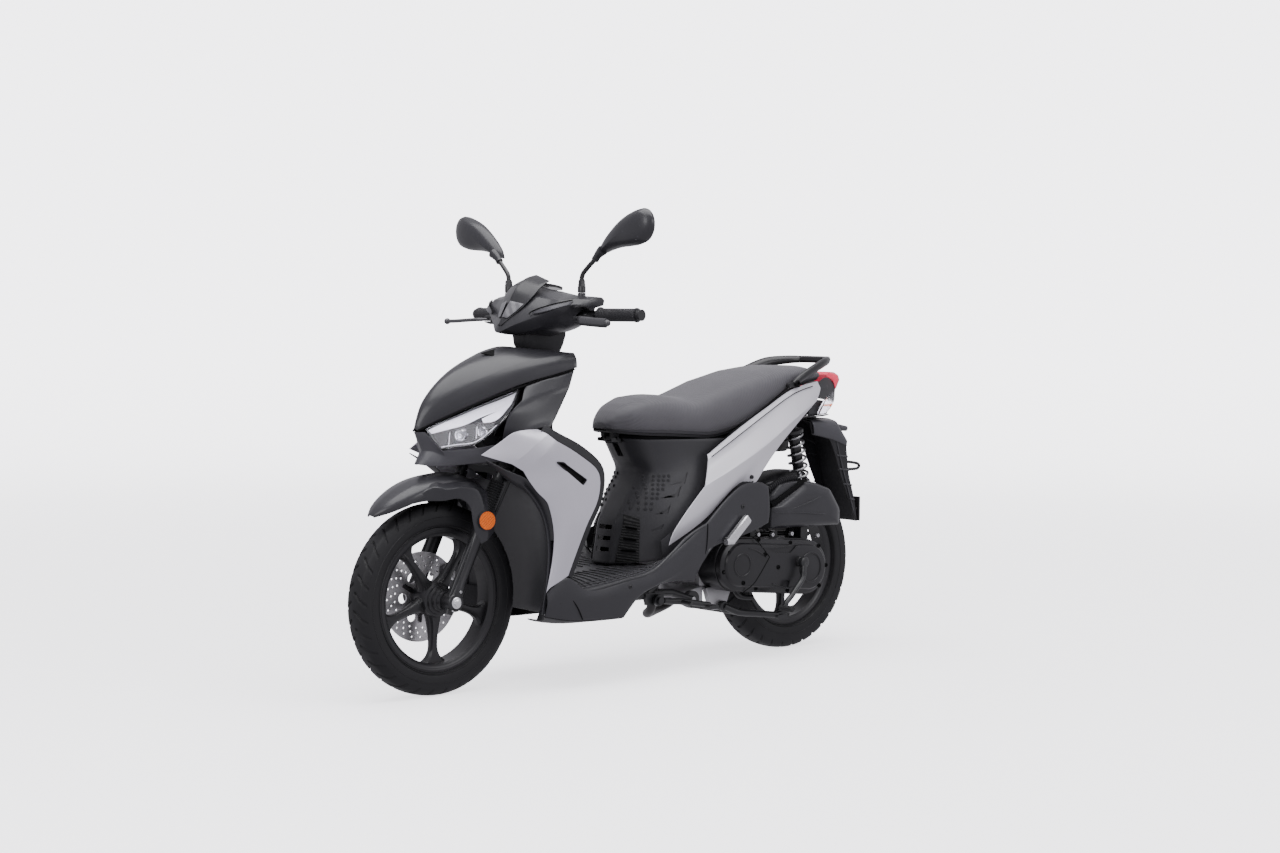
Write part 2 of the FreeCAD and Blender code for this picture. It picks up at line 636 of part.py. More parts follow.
def fork_sliders():
    ends = [V(FRONT_AXLE_X, y, FRONT_TYRE_RADIUS) for y in (-104, 104)]
    shape = rod(*ends, AXLE_RADIUS)
    for side in (1, -1):
        y = side * FORK_LEG_Y
        leg = rod(fork_point(-22, y), fork_point(252, y), 20.0)
        leg = leg.cut(rod(fork_point(40, y), fork_point(300, y), 14.0 + SHAFT_GAP))
        foot = disc_y(FRONT_AXLE_X, FRONT_TYRE_RADIUS, 24.0, y - 18, y + 18)
        foot = foot.cut(rod(fork_point(40, y), fork_point(300, y), 14.0 + SHAFT_GAP))
        shape = shape.fuse(leg).fuse(foot)
    nut = disc_y(FRONT_AXLE_X, FRONT_TYRE_RADIUS, 12.0, 102, 110)
    return shape.fuse(nut)


FENDER_RADIUS = 290.0
FENDER_HALF_WIDTH = 58.0


def front_fender():
    """An arched skin over the tyre, with an arm down to each fork leg."""
    rows = []
    for degrees in (50, 62, 74, 86, 98, 110, 122, 134, 143):
        angle = math.radians(180 - degrees)
        narrow = 1.0 if degrees < 110 else 1.0 - 0.75 * ((degrees - 110) / 33.0) ** 2
        row = []
        for across, drop in ((1.0, 44), (0.86, 16), (0.5, 4), (0.0, 0)):
            radius = FENDER_RADIUS - drop * narrow
            row.append((FRONT_AXLE_X + radius * math.cos(angle), FENDER_HALF_WIDTH * narrow * across,
                        FRONT_TYRE_RADIUS + radius * math.sin(angle)))
        rows.append(whole_row(row))

    def towards_axle(p):
        away = V(p.x - FRONT_AXLE_X, 0, p.z - FRONT_TYRE_RADIUS)
        return away * (-PANEL / away.Length)

    shape = slab(rows, towards_axle)
    arm = prism_y([(636, 462), (560, 492), (566, 440), (604, 372), (640, 372), (628, 410)], 58.2, 61.2)
    reflector = disc_y(592, 456, 24.0, 104.4, 111)
    return Part.makeCompound([shape, *on_both_sides(arm).Solids, *on_both_sides(reflector).Solids])


DISC_RADIUS = 118.0
DISC_Y = (-56.0, -52.0)


def brake_caliper():
    block = box(556, 624, -72, -40, 268, 334)
    gap = disc_y(FRONT_AXLE_X, FRONT_TYRE_RADIUS, DISC_RADIUS + 4, DISC_Y[0] - 1.5, DISC_Y[1] + 1.5)
    arm = box(620, 655, -64, -59, 290, 320)
    return block.cut(gap).fuse(arm)


def tyre(x, radius, half_width, half_crown):
    """A hollow tyre with a flat band in the middle of its tread, on which the machine stands."""
    bead = RIM_SEAT_RADIUS
    outer = [(27, bead + 0.2), (27.4, bead + 11), (half_width - 2, bead + 20), (half_width, bead + 36),
             (half_width - 5, radius - 14), (half_crown + 8, radius - 4), (half_crown, radius)]
    inner = [(22, bead + 0.2), (23, bead + 12), (half_width - 8, bead + 24), (half_width - 10, radius - 20),
             (half_crown, radius - 10)]
    profile = ([(-y, r) for y, r in outer] + [(y, r) for y, r in reversed(outer)]
               + [(y, r) for y, r in inner] + [(-y, r) for y, r in reversed(inner)])
    return ring_y(profile, x, radius)


def rim(x, z, hub_radius, hub_y0, hub_y1, twist_deg):
    """Rim band with flanges, hub, and five spokes that flare where they meet the band."""
    band = [(-30, 164), (30, 164), (31, 187), (28, 187), (27, RIM_SEAT_RADIUS), (-27, RIM_SEAT_RADIUS),
            (-28, 187), (-31, 187)]
    shape = ring_y(band, x, z).fuse(disc_y(x, z, hub_radius, hub_y0, hub_y1))
    for k in range(5):
        spoke = prism_y([(-17, hub_radius - 6), (-12, 90), (-15, 130), (-36, 163), (0, 166), (36, 163),
                         (15, 130), (12, 90), (17, hub_radius - 6)], -12, 12)
        spoke.rotate(V(0, 0, 0), LEFT, 72 * k + twist_deg)
        spoke.translate(V(x, 0, z))
        shape = shape.fuse(spoke)
    return shape.cut(disc_y(x, z, AXLE_RADIUS + SHAFT_GAP, -120, 120))


def brake_disc():
    x, z = FRONT_AXLE_X, FRONT_TYRE_RADIUS
    shape = disc_y(x, z, DISC_RADIUS, *DISC_Y).cut(disc_y(x, z, 34.0, -60, -50))
    for k in range(24):
        for radius, turn in ((106, 0), (94, 5), (82, 10)):
            angle = math.radians(15 * k + turn)
            hole = disc_y(x + radius * math.cos(angle), z + radius * math.sin(angle), 3.0, -60, -50)
            shape = shape.cut(hole)
    for k in range(6):
        angle = math.radians(60 * k)
        shape = shape.cut(disc_y(x + 58 * math.cos(angle), z + 58 * math.sin(angle), 13.0, -60, -50))
    return shape


# ---- swinging engine unit -----------------------------------------------------------------------------
def stadium(front, rear, front_radius, rear_radius, y0, y1):
    """A plate that wraps two round ends of different radius, seen from the side."""
    dx, dz = rear[0] - front[0], rear[1] - front[1]
    span = math.hypot(dx, dz)
    along, lean = math.atan2(dz, dx), math.acos((front_radius - rear_radius) / span)
    corners = []
    for centre, radius, sign in ((front, front_radius, 1), (rear, rear_radius, 1), (rear, rear_radius, -1),
                                 (front, front_radius, -1)):
        angle = along + sign * lean
        corners.append((centre[0] + radius * math.cos(angle), centre[1] + radius * math.sin(angle)))
    shape = prism_y(corners, y0, y1)
    return shape.fuse(disc_y(*front, front_radius, y0, y1)).fuse(disc_y(*rear, rear_radius, y0, y1))


def engine_case():
    case = stadium(CRANK, CLUTCH, 79.0, 82.0, 64, 138)
    case = case.cut(stadium(CRANK, CLUTCH, 70.0, 74.0, 72, 139))
    crankcase = prism_y(
        [(-205, 214), (-205, 330), (-250, 372), (-322, 360), (-334, 300), (-330, 210)], -68, 66)
    lug = prism_y([(-128, 176), (-128, 204), (-206, 214), (-206, 178)], -80, 80)
    stand_lug = prism_y([(-285, 150), (-240, 150), (-215, 216), (-320, 216)], 66, 84)
    shape = case.fuse(crankcase).fuse(lug).fuse(stand_lug).fuse(mirror(stand_lug))
    shape = shape.fuse(disc_y(*SWING_PIVOT, 18.0, -82, 82)).cut(disc_y(*SWING_PIVOT, 8.0, -90, 90))
    shape = shape.fuse(disc_y(*SWING_PIVOT, 8.0, -104, 104))
    axle = rod(V(REAR_AXLE_X, -62, REAR_TYRE_RADIUS), V(REAR_AXLE_X, 72, REAR_TYRE_RADIUS), AXLE_RADIUS)
    shock_lug = prism_y([(-612, 330), (-546, 336), (-580, 448), (-612, 448)], 68, 84)
    fan = disc_y(*CRANK, 78.0, -118, -68)
    shock_bolt = disc_y(*SHOCK_LOWER, 5.0, 68, 120)
    shape = shape.fuse(axle).fuse(shock_lug).fuse(shock_bolt).fuse(fan)
    return shape.cut(disc_y(CRANK[0], 160, 6.0 + SHAFT_GAP, -90, 90))


def cvt_cover():
    shape = stadium(CRANK, CLUTCH, 76.0, 79.0, 138.2, 158)
    shape = shape.fuse(stadium(CRANK, CLUTCH, 64.0, 67.0, 158, 170))
    shape = shape.fuse(disc_y(*KICK_PIVOT, 14.0, 160, 178))
    return shape.cut(disc_y(*KICK_PIVOT, 8.0 + SHAFT_GAP, 150, 190))


def variator_and_belt():
    """The front pulley, the rear pulley and the belt between them, inside the case."""
    front = disc_y(*CRANK, 48.0, 76, 90).fuse(disc_y(*CRANK, 48.0, 112, 124))
    front = front.fuse(disc_y(*CRANK, 20.0, 76, 124))
    rear = disc_y(*CLUTCH, 60.0, 76, 90).fuse(disc_y(*CLUTCH, 60.0, 112, 132))
    rear = rear.fuse(disc_y(*CLUTCH, 24.0, 76, 132))
    belt = stadium(CRANK, CLUTCH, 46.0, 58.0, 92, 110).cut(stadium(CRANK, CLUTCH, 38.0, 50.0, 90, 112))
    return Part.makeCompound([front, rear, belt])


def cylinder():
    start, end = V(-198, 0, 284), V(-54, 0, 305)
    along = (end - start).normalize()
    shape = rod(start, end, 46.0)
    for k in range(6):
        at = start + along * (22 + 14 * k)
        shape = shape.fuse(rod(at, at + along * 6, 66.0))
    return shape.fuse(rod(start + along * 112, end, 60.0))


def air_box():
    left = [(-402, 376), (-402, 470), (-440, 506), (-500, 514), (-590, 505), (-655, 484), (-700, 420),
            (-700, 372)]
    body = prism_y(left, 92, 150)
    bulge = loft([
        [(x, 150, z) for x, z in left],
        [(-548 + (x + 548) * 0.82, 165, 436 + (z - 436) * 0.72) for x, z in left],
    ])
    shape = body.fuse(bulge)
    recess = prism_y([(-540, 560), (-548, 404), (-640, 404), (-646, 560)], 60, 134)
    return Part.makeCompound([shape.cut(recess), rear_hugger()])


def rear_hugger():
    """The short guard over the front of the rear tyre."""
    rows = []
    for degrees in (30, 48, 66, 84, 102):
        angle = math.radians(degrees)
        radius = REAR_TYRE_RADIUS + 18
        rows.append([(REAR_AXLE_X + (radius - drop) * math.cos(angle), y,
                      REAR_TYRE_RADIUS + (radius - drop) * math.sin(angle))
                     for y, drop in ((58, 22), (40, 4), (0, 0), (-40, 4), (-58, 22))])
    return slab(rows, lambda p: V(0, 0, -PANEL))


def muffler():
    front, rear = V(-380, -146, 238), V(-742, -146, 322)
    along = (rear - front).normalize()
    can = rod(front, rear, 50.0).fuse(rod(front - along * 40, front + along, 30.0))
    can = can.cut(rod(front + along * 4, rear - along * 4, 46.5))
    guard = rod(front + along * 40, rear - along * 60, 54.0).cut(rod(front, rear, 51.0))
    guard = guard.common(box(-800, -300, -210, -150, 200, 420))
    outlet = rod(rear - along, rear + along * 20, 14.0)
    pipe = tube(
        [front - along * 30, V(-330, -146, 180), V(-200, -114, 132), V(-96, -50, 138), V(-92, 0, 226)],
                13.0)
    stay = box(-350, -318, -150, -118, 262, 290)
    shape = can.fuse(guard).fuse(outlet).fuse(pipe.cut(box(-130, -40, -30, 30, 221, 300))).fuse(stay)
    return shape.cut(rod(rear - along * 5, rear + along * 21, 10.0))


def shock_axis():
    low, high = V(SHOCK_LOWER[0], SHOCK_Y, SHOCK_LOWER[1]), V(SHOCK_UPPER[0], SHOCK_Y, SHOCK_UPPER[1])
    return low, high, (high - low).normalize()


def shock_body():
    low, high, along = shock_axis()
    shape = rod(high - along * 150, high - along * 20, 17.0)
    shape = shape.cut(rod(high - along * 151, high - along * 50, 6.0 + SHAFT_GAP))
    seat = rod(high - along * 34, high - along * 26, 30.0)
    eye = disc_y(SHOCK_UPPER[0], SHOCK_UPPER[1], 14.0, SHOCK_Y - 12, SHOCK_Y + 12)
    neck = rod(high - along * 28, high - along * 8, 10.0)
    shape = shape.fuse(seat).fuse(neck).fuse(eye)
    return shape.cut(disc_y(*SHOCK_UPPER, 6.0 + SHAFT_GAP, SHOCK_Y - 20, SHOCK_Y + 20))


def shock_rod():
    low, high, along = shock_axis()
    shape = rod(low + along * 8, high - along * 116, 6.0)
    shape = shape.fuse(rod(low + along * 26, low + along * 36, 30.0))
    eye = disc_y(SHOCK_LOWER[0], SHOCK_LOWER[1], 14.0, SHOCK_Y - 12, SHOCK_Y + 12)
    shape = shape.fuse(rod(low + along * 8, low + along * 30, 10.0)).fuse(eye)
    return shape.cut(disc_y(*SHOCK_LOWER, 8.5, SHOCK_Y - 20, SHOCK_Y + 20))


def shock_spring():
    low, high, along = shock_axis()
    length = (high - low).Length
    start, end = 37.0, length - 35.0
    helix = Part.makeHelix((end - start - 8) / 7.5, end - start - 8, 25.0)
    profile = Part.Wire(Part.makeCircle(3.6, V(25, 0, 0), LEFT))
    shape = Part.Wire(helix).makePipeShell([profile], True, False)
    shape.Placement = FreeCAD.Placement(low + along * (start + 4), FreeCAD.Rotation(UP, along))
    return shape


def kick_lever():
    boss = disc_y(*KICK_PIVOT, 16.0, 180, 194)
    shaft = disc_y(*KICK_PIVOT, 8.0, 164, 182)
    pivot = V(KICK_PIVOT[0], 188, KICK_PIVOT[1])
    arm = tube([pivot, V(-500, 194, 232), V(-444, 197, 182), V(-420, 198, 156)], 8.0)
    pedal = rod(V(-418, 182, 153), V(-418, 232, 153), 9.0)
    return boss.fuse(shaft).fuse(arm).fuse(pedal)


def centre_stand():
    """Folded up against the underside, with its feet pointing backwards."""
    x, z = CENTRE_STAND_PIVOT
    leg = tube([V(x, 95.5, z), V(-330, 106, 138), V(-470, 118, 120)], 10.0)
    foot = box(-500, -462, 106, 132, 108, 122)
    tang = tube([V(-470, 118, 122), V(-512, 150, 142)], 8.0)
    pivot = disc_y(x, z, 15.0, 85, 100)
    side = leg.fuse(foot).fuse(pivot)
    shape = side.fuse(mirror(side)).fuse(tang)
    shape = shape.fuse(rod(V(-330, -106, 138), V(-330, 106, 138), 9.0))
    return shape.fuse(disc_y(x, z, 6.0, -98, 98))


def side_stand():
    """Folded back along the left rail; it turns down about its bolt."""
    x, z = SIDE_STAND_PIVOT
    pivot = disc_y(x, z, 16.0, 133, 146)
    leg = tube([V(x, 141, z), V(-60, 142, 196), V(-168, 148, 178)], 9.0)
    foot = box(-186, -154, 136, 168, 168, 178)
    lever = rod(V(-60, 142, 196), V(-70, 178, 192), 6.0)
    clearance = disc_y(x, z, 18.0, 146, 160).fuse(disc_y(x, z, 18.0, 120, 133))
    shape = leg.fuse(pivot).cut(clearance).cut(disc_y(x, z, 6.0 + SHAFT_GAP, 120, 160))
    return shape.fuse(foot).fuse(lever)


def footpeg(side):
    """Passenger's peg, folded up against the cover; it turns down about a fore-and-aft pin."""
    x, z = FOOTPEG_PIVOT
    knuckle = rod(V(x - 14, PEG_Y, z), V(x + 14, PEG_Y, z), 9.0)
    peg = loft([
        [(x + 12, PEG_Y - 8, z), (x - 14, PEG_Y - 8, z), (x - 14, PEG_Y + 8, z), (x + 12, PEG_Y + 8, z)],
        [(-256, PEG_Y - 8, 428), (-282, PEG_Y - 8, 414), (-282, PEG_Y + 8, 414), (-256, PEG_Y + 8, 428)],
    ])
    shape = knuckle.fuse(peg)
    return shape if side > 0 else mirror(shape)


# ---- seat ---------------------------------------------------------------------------------------------
# x, height of the lower edge, half width, height of the crown
SEAT_STATIONS = [
    (112, 690, 28, 706), (92, 680, 50, 736), (60, 672, 76, 758), (10, 666, 96, 771), (-60, 660, 110, 769),
    (-140, 654, 124, 759), (-190, 652, 130, 778), (-290, 672, 136, 818), (-410, 730, 132, 836),
    (-520, 786, 118, 846), (-610, 800, 104, 845), (-665, 808, 88, 834), (-692, 816, 66, 824)]


def seat_cushion():
    sections = []
    for x, low, half, top in SEAT_STATIONS:
        rise = top - low
        left = [
            (half * 0.95, low), (half, low + rise * 0.35), (half * 0.84, low + rise * 0.8), (half * 0.4, top)]
        sections.append([(x, y, z) for y, z in left] + [(x, -y, z) for y, z in reversed(left)])
    return loft(sections)


def seat_base():
    rows = []
    for x, low, half, _ in SEAT_STATIONS[1:-1]:
        rows.append([(x, half * share, low - 1) for share in (0.86, 0.4, 0, -0.4, -0.86)])
    plate = slab(rows, lambda p: V(0, 0, -5))
    for side in (1, -1):
        y0, y1 = sorted((side * 12, side * 26))
        lug = box(70, 90, y0, y1, 652, 671).fuse(disc_y(*SEAT_HINGE, 10.0, y0, y1))
        plate = plate.fuse(lug)
    return plate.cut(disc_y(*SEAT_HINGE, 4.0 + SHAFT_GAP, -40, 40))


def ignition_key():
    """The lock's turning barrel with the key in it."""
    barrel = rod(V(320, KEY_Y, 797.3), V(280, KEY_Y, 803.3), 8.0)
    return barrel.fuse(box(250, 281.5, KEY_Y - 1.5, KEY_Y + 1.5, 792, 816))


# ---- build --------------------------------------------------------------------------------------------
def build():
    stem = steering_stem()
    left_leg_panel, left_cover, left_side = leg_panel(), lower_cover(), side_panel()
    return {
        "frame": frame(),
        "fuel_tank": fuel_tank(),
        "helmet_box": helmet_box(),
        "nose_brow": nose_brow(),
        "front_cowl": front_cowl(),
        "headlight_unit": headlight_unit(),
        "leg_panel_left": left_leg_panel,
        "leg_panel_right": mirror(left_leg_panel),
        "inner_leg_shield": inner_leg_shield(),
        "wheel_arch": wheel_arch(),
        "floorboard": floorboard(),
        "lower_cover_left": left_cover,
        "lower_cover_right": mirror(left_cover),
        "centre_cover": centre_cover(),
        "side_panel_left": left_side,
        "side_panel_right": mirror(left_side),
        "tail_cover": tail_cover(),
        "tail_light": tail_light(),
        "grab_rail": grab_rail(),
        "rear_mudguard": rear_mudguard(),
        "ignition_key": ignition_key(),
        "seat_base": seat_base(),
        "seat_cushion": seat_cushion(),
        "steering_stem": stem,
        "handlebar": handlebar(stem),
        "headset_cover": headset_cover(),
        "instrument_cluster": instrument_cluster(),
        "speedometer_cable": speedometer_cable(),
        "switchgear_left": switchgear(1),
        "switchgear_right": switchgear(-1),
        "horn_button": button(1),
        "starter_button": button(-1),
        "grip_left": grip(GRIP_START_Y),
        "throttle_grip": mirror(grip(GRIP_START_Y)),
        "brake_lever_left": brake_lever(1),
        "brake_lever_right": brake_lever(-1),
        "mirror_left": mirror_unit(1),
        "mirror_right": mirror_unit(-1),
        "fork_sliders": fork_sliders(),
        "front_fender": front_fender(),
        "brake_caliper": brake_caliper(),
        "front_rim": rim(FRONT_AXLE_X, FRONT_TYRE_RADIUS, 34.0, -51.8, 50, 180),
        "front_tyre": tyre(FRONT_AXLE_X, FRONT_TYRE_RADIUS, 40.0, 19.0),
        "brake_disc": brake_disc(),
        "engine_case": engine_case(),
        "cvt_cover": cvt_cover(),
        "variator_and_belt": variator_and_belt(),
        "cylinder": cylinder(),
        "air_box": air_box(),
        "muffler": muffler(),
        "rear_rim": rim(REAR_AXLE_X, REAR_TYRE_RADIUS, 52.0, -44, 44, 36),
        "rear_tyre": tyre(REAR_AXLE_X, REAR_TYRE_RADIUS, 45.0, 22.0),
        "shock_body": shock_body(),
        "shock_rod": shock_rod(),
        "shock_spring": shock_spring(),
        "kick_lever": kick_lever(),
        "centre_stand": centre_stand(),
        "side_stand": side_stand(),
        "footpeg_left": footpeg(1),
        "footpeg_right": footpeg(-1),
    }


os.makedirs("parts", exist_ok=True)
for name, shape in build().items():
    if not shape.isValid() or shape.Volume <= 0:
        print("check", name, shape.isValid(), round(shape.Volume))
    shape.exportStep("parts/" + name + ".step")
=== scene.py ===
import bpy
import bmesh
import math
from mathutils import Matrix, Vector


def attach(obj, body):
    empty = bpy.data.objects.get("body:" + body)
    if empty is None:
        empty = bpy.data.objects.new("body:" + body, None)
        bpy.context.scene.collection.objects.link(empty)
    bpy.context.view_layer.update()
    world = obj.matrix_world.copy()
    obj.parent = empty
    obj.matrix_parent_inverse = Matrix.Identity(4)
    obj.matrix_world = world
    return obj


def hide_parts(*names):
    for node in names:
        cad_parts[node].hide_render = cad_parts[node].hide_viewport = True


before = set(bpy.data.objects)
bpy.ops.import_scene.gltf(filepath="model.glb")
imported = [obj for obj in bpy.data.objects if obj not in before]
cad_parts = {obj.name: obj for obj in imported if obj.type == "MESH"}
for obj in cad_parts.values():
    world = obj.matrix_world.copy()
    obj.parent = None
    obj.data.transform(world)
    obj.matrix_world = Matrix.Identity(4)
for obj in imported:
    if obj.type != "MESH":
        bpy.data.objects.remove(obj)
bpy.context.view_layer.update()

MM = 0.001
FRONT_AXLE = (685.0, 250.0)
REAR_AXLE = (-605.0, 258.0)
RAKE = math.radians(25.5)
STEER_UP = Vector((-math.sin(RAKE), 0.0, math.cos(RAKE)))
FORK_LEG_Y = 84.0
CRANK = (-275.0, 284.0)
CLUTCH = (-556.0, 258.0)
KICK_PIVOT = (-508.0, 278.0)
SHOCK_LOWER = Vector((-596.0, 101.0, 432.0))
SHOCK_UPPER = Vector((-540.0, 101.0, 682.0))
LOCK_AXIS = Vector((-0.98893, 0.0, 0.14834))
LOCK_FACE = (302.0, -70.0, 800.0)
DIAL_AXIS = Vector((-0.1736, 0.0, 0.9848))
DIAL_ACROSS = Vector((0.9848, 0.0, 0.1736))
DIAL_CENTRE = Vector((306.0, 0.0, 1060.0))
PEG_HINGE = (-196.0, 358.0)
SIDEWAYS = Vector((0.0, 1.0, 0.0))


# ---- camera and light ---------------------------------------------------------------------------------
def make_camera():
    yaw, pitch, roll = math.radians(-132.0579), math.radians(-2.9470), math.radians(0.5038)
    ahead = Vector((math.cos(pitch) * math.cos(yaw), math.cos(pitch) * math.sin(yaw), math.sin(pitch)))
    right = ahead.cross(Vector((0, 0, 1))).normalized()
    above = right.cross(ahead)
    across = right * math.cos(roll) + above * math.sin(roll)
    upright = above * math.cos(roll) - right * math.sin(roll)
    data = bpy.data.cameras.new("camera")
    data.lens = 59.72
    data.sensor_width = 36.0
    data.clip_end = 200.0
    camera = bpy.data.objects.new("camera", data)
    bpy.context.collection.objects.link(camera)
    turn = Matrix((across, upright, -ahead)).transposed().to_4x4()
    camera.matrix_world = Matrix.Translation((3.95196, 4.41654, 0.98292)) @ turn
    bpy.context.scene.camera = camera


def area_light(name, place, target, size, size_y, power):
    data = bpy.data.lights.new(name, "AREA")
    data.shape = "RECTANGLE"
    data.size = size
    data.size_y = size_y
    data.energy = power
    light = bpy.data.objects.new(name, data)
    bpy.context.collection.objects.link(light)
    light.location = place
    light.rotation_euler = (Vector(target) - Vector(place)).to_track_quat("-Z", "Y").to_euler()


def make_world():
    world = bpy.data.worlds.new("studio")
    world.use_nodes = True
    back = world.node_tree.nodes["Background"]
    back.inputs["Color"].default_value = (0.945, 0.93, 0.985, 1)
    back.inputs["Strength"].default_value = 0.72
    bpy.context.scene.world = world
    area_light("top_box", (0.2, 0.4, 4.2), (0, 0, 0.4), 5.0, 3.5, 260)
    area_light("front_box", (4.5, 1.5, 2.6), (0.2, 0, 0.6), 2.0, 2.0, 60)
    area_light("left_box", (-1.8, 5.0, 2.6), (-0.2, 0, 0.5), 3.0, 1.2, 60)


# ---- materials ----------------------------------------------------------------------------------------
LOOKS = {}


def material(name, base, rough, metal=0.0, spread=0.1, grain=300.0, depth=0.05, coat=0.0,
             flake=0.0, clear=0.0, ribs=None, sheen=0.0, gloss=0.5, glow=0.0):
    """Colour and roughness vary over the surface; grain, and ribs where given, stand up from it."""
    made = bpy.data.materials.new(name)
    made.use_nodes = True
    nodes, links = made.node_tree.nodes, made.node_tree.links
    shader = nodes["Principled BSDF"]
    shader.inputs["Metallic"].default_value = metal
    shader.inputs["Coat Weight"].default_value = coat
    shader.inputs["Coat Roughness"].default_value = 0.12
    shader.inputs["Transmission Weight"].default_value = clear
    shader.inputs["Sheen Weight"].default_value = sheen
    shader.inputs["Specular IOR Level"].default_value = gloss
    shader.inputs["Emission Color"].default_value = [*base, 1]
    shader.inputs["Emission Strength"].default_value = glow
    place = nodes.new("ShaderNodeTexCoord")
    broad = nodes.new("ShaderNodeTexNoise")
    broad.inputs["Scale"].default_value = 7.0
    broad.inputs["Detail"].default_value = 5.0
    tint = nodes.new("ShaderNodeValToRGB")
    tint.color_ramp.elements[0].position = 0.3
    tint.color_ramp.elements[1].position = 0.7
    tint.color_ramp.elements[0].color = [c * (1 - spread) for c in base] + [1]
    tint.color_ramp.elements[1].color = [min(1, c * (1 + spread)) for c in base] + [1]
    links.new(place.outputs["Object"], broad.inputs["Vector"])
    links.new(broad.outputs["Fac"], tint.inputs["Fac"])
    colour = tint.outputs["Color"]
    if flake:
        colour = with_flakes(nodes, links, place, colour, flake)
    links.new(colour, shader.inputs["Base Color"])
    fine = nodes.new("ShaderNodeTexNoise")
    fine.inputs["Scale"].default_value = 38.0
    fine.inputs["Detail"].default_value = 6.0
    links.new(place.outputs["Object"], fine.inputs["Vector"])
    span = nodes.new("ShaderNodeMapRange")
    span.inputs["To Min"].default_value = max(0.02, rough - 0.07)
    span.inputs["To Max"].default_value = rough + 0.07
    links.new(fine.outputs["Fac"], span.inputs["Value"])
    links.new(span.outputs["Result"], shader.inputs["Roughness"])
    texture = nodes.new("ShaderNodeTexNoise")
    texture.inputs["Scale"].default_value = grain
    texture.inputs["Detail"].default_value = 3.0
    links.new(place.outputs["Object"], texture.inputs["Vector"])
    bump = nodes.new("ShaderNodeBump")
    bump.inputs["Strength"].default_value = depth
    bump.inputs["Distance"].default_value = 0.001
    links.new(texture.outputs["Fac"], bump.inputs["Height"])
    if ribs:
        add_ribs(nodes, links, place, bump, ribs)
    links.new(bump.outputs["Normal"], shader.inputs["Normal"])
    LOOKS[name] = made
    return made


def with_flakes(nodes, links, place, colour, amount):
    """Metallic paint: each small cell is a little lighter or darker."""
    cells = nodes.new("ShaderNodeTexVoronoi")
    cells.inputs["Scale"].default_value = 900.0
    links.new(place.outputs["Object"], cells.inputs["Vector"])
    shade = nodes.new("ShaderNodeMapRange")
    shade.inputs["To Min"].default_value = 1.0 - amount
    shade.inputs["To Max"].default_value = 1.0 + amount
    links.new(cells.outputs["Distance"], shade.inputs["Value"])
    scale = nodes.new("ShaderNodeVectorMath")
    scale.operation = "SCALE"
    links.new(colour, scale.inputs[0])
    links.new(shade.outputs["Result"], scale.inputs["Scale"])
    return scale.outputs["Vector"]


def add_ribs(nodes, links, place, bump, ribs):
    """Bands or rings of (kind, direction, spacing in metres, depth, centre)."""
    kind, direction, spacing, depth, centre = ribs
    move = nodes.new("ShaderNodeMapping")
    move.vector_type = "POINT"
    move.inputs["Location"].default_value = [-c for c in centre]
    wave = nodes.new("ShaderNodeTexWave")
    wave.wave_type = kind
    if kind == "BANDS":
        wave.bands_direction = direction
    else:
        wave.rings_direction = direction
    wave.inputs["Scale"].default_value = 0.314 / spacing
    links.new(place.outputs["Object"], move.inputs["Vector"])
    links.new(move.outputs["Vector"], wave.inputs["Vector"])
    second = nodes.new("ShaderNodeBump")
    second.inputs["Strength"].default_value = depth
    second.inputs["Distance"].default_value = 0.001
    links.new(wave.outputs["Fac"], second.inputs["Height"])
    links.new(second.outputs["Normal"], bump.inputs["Normal"])


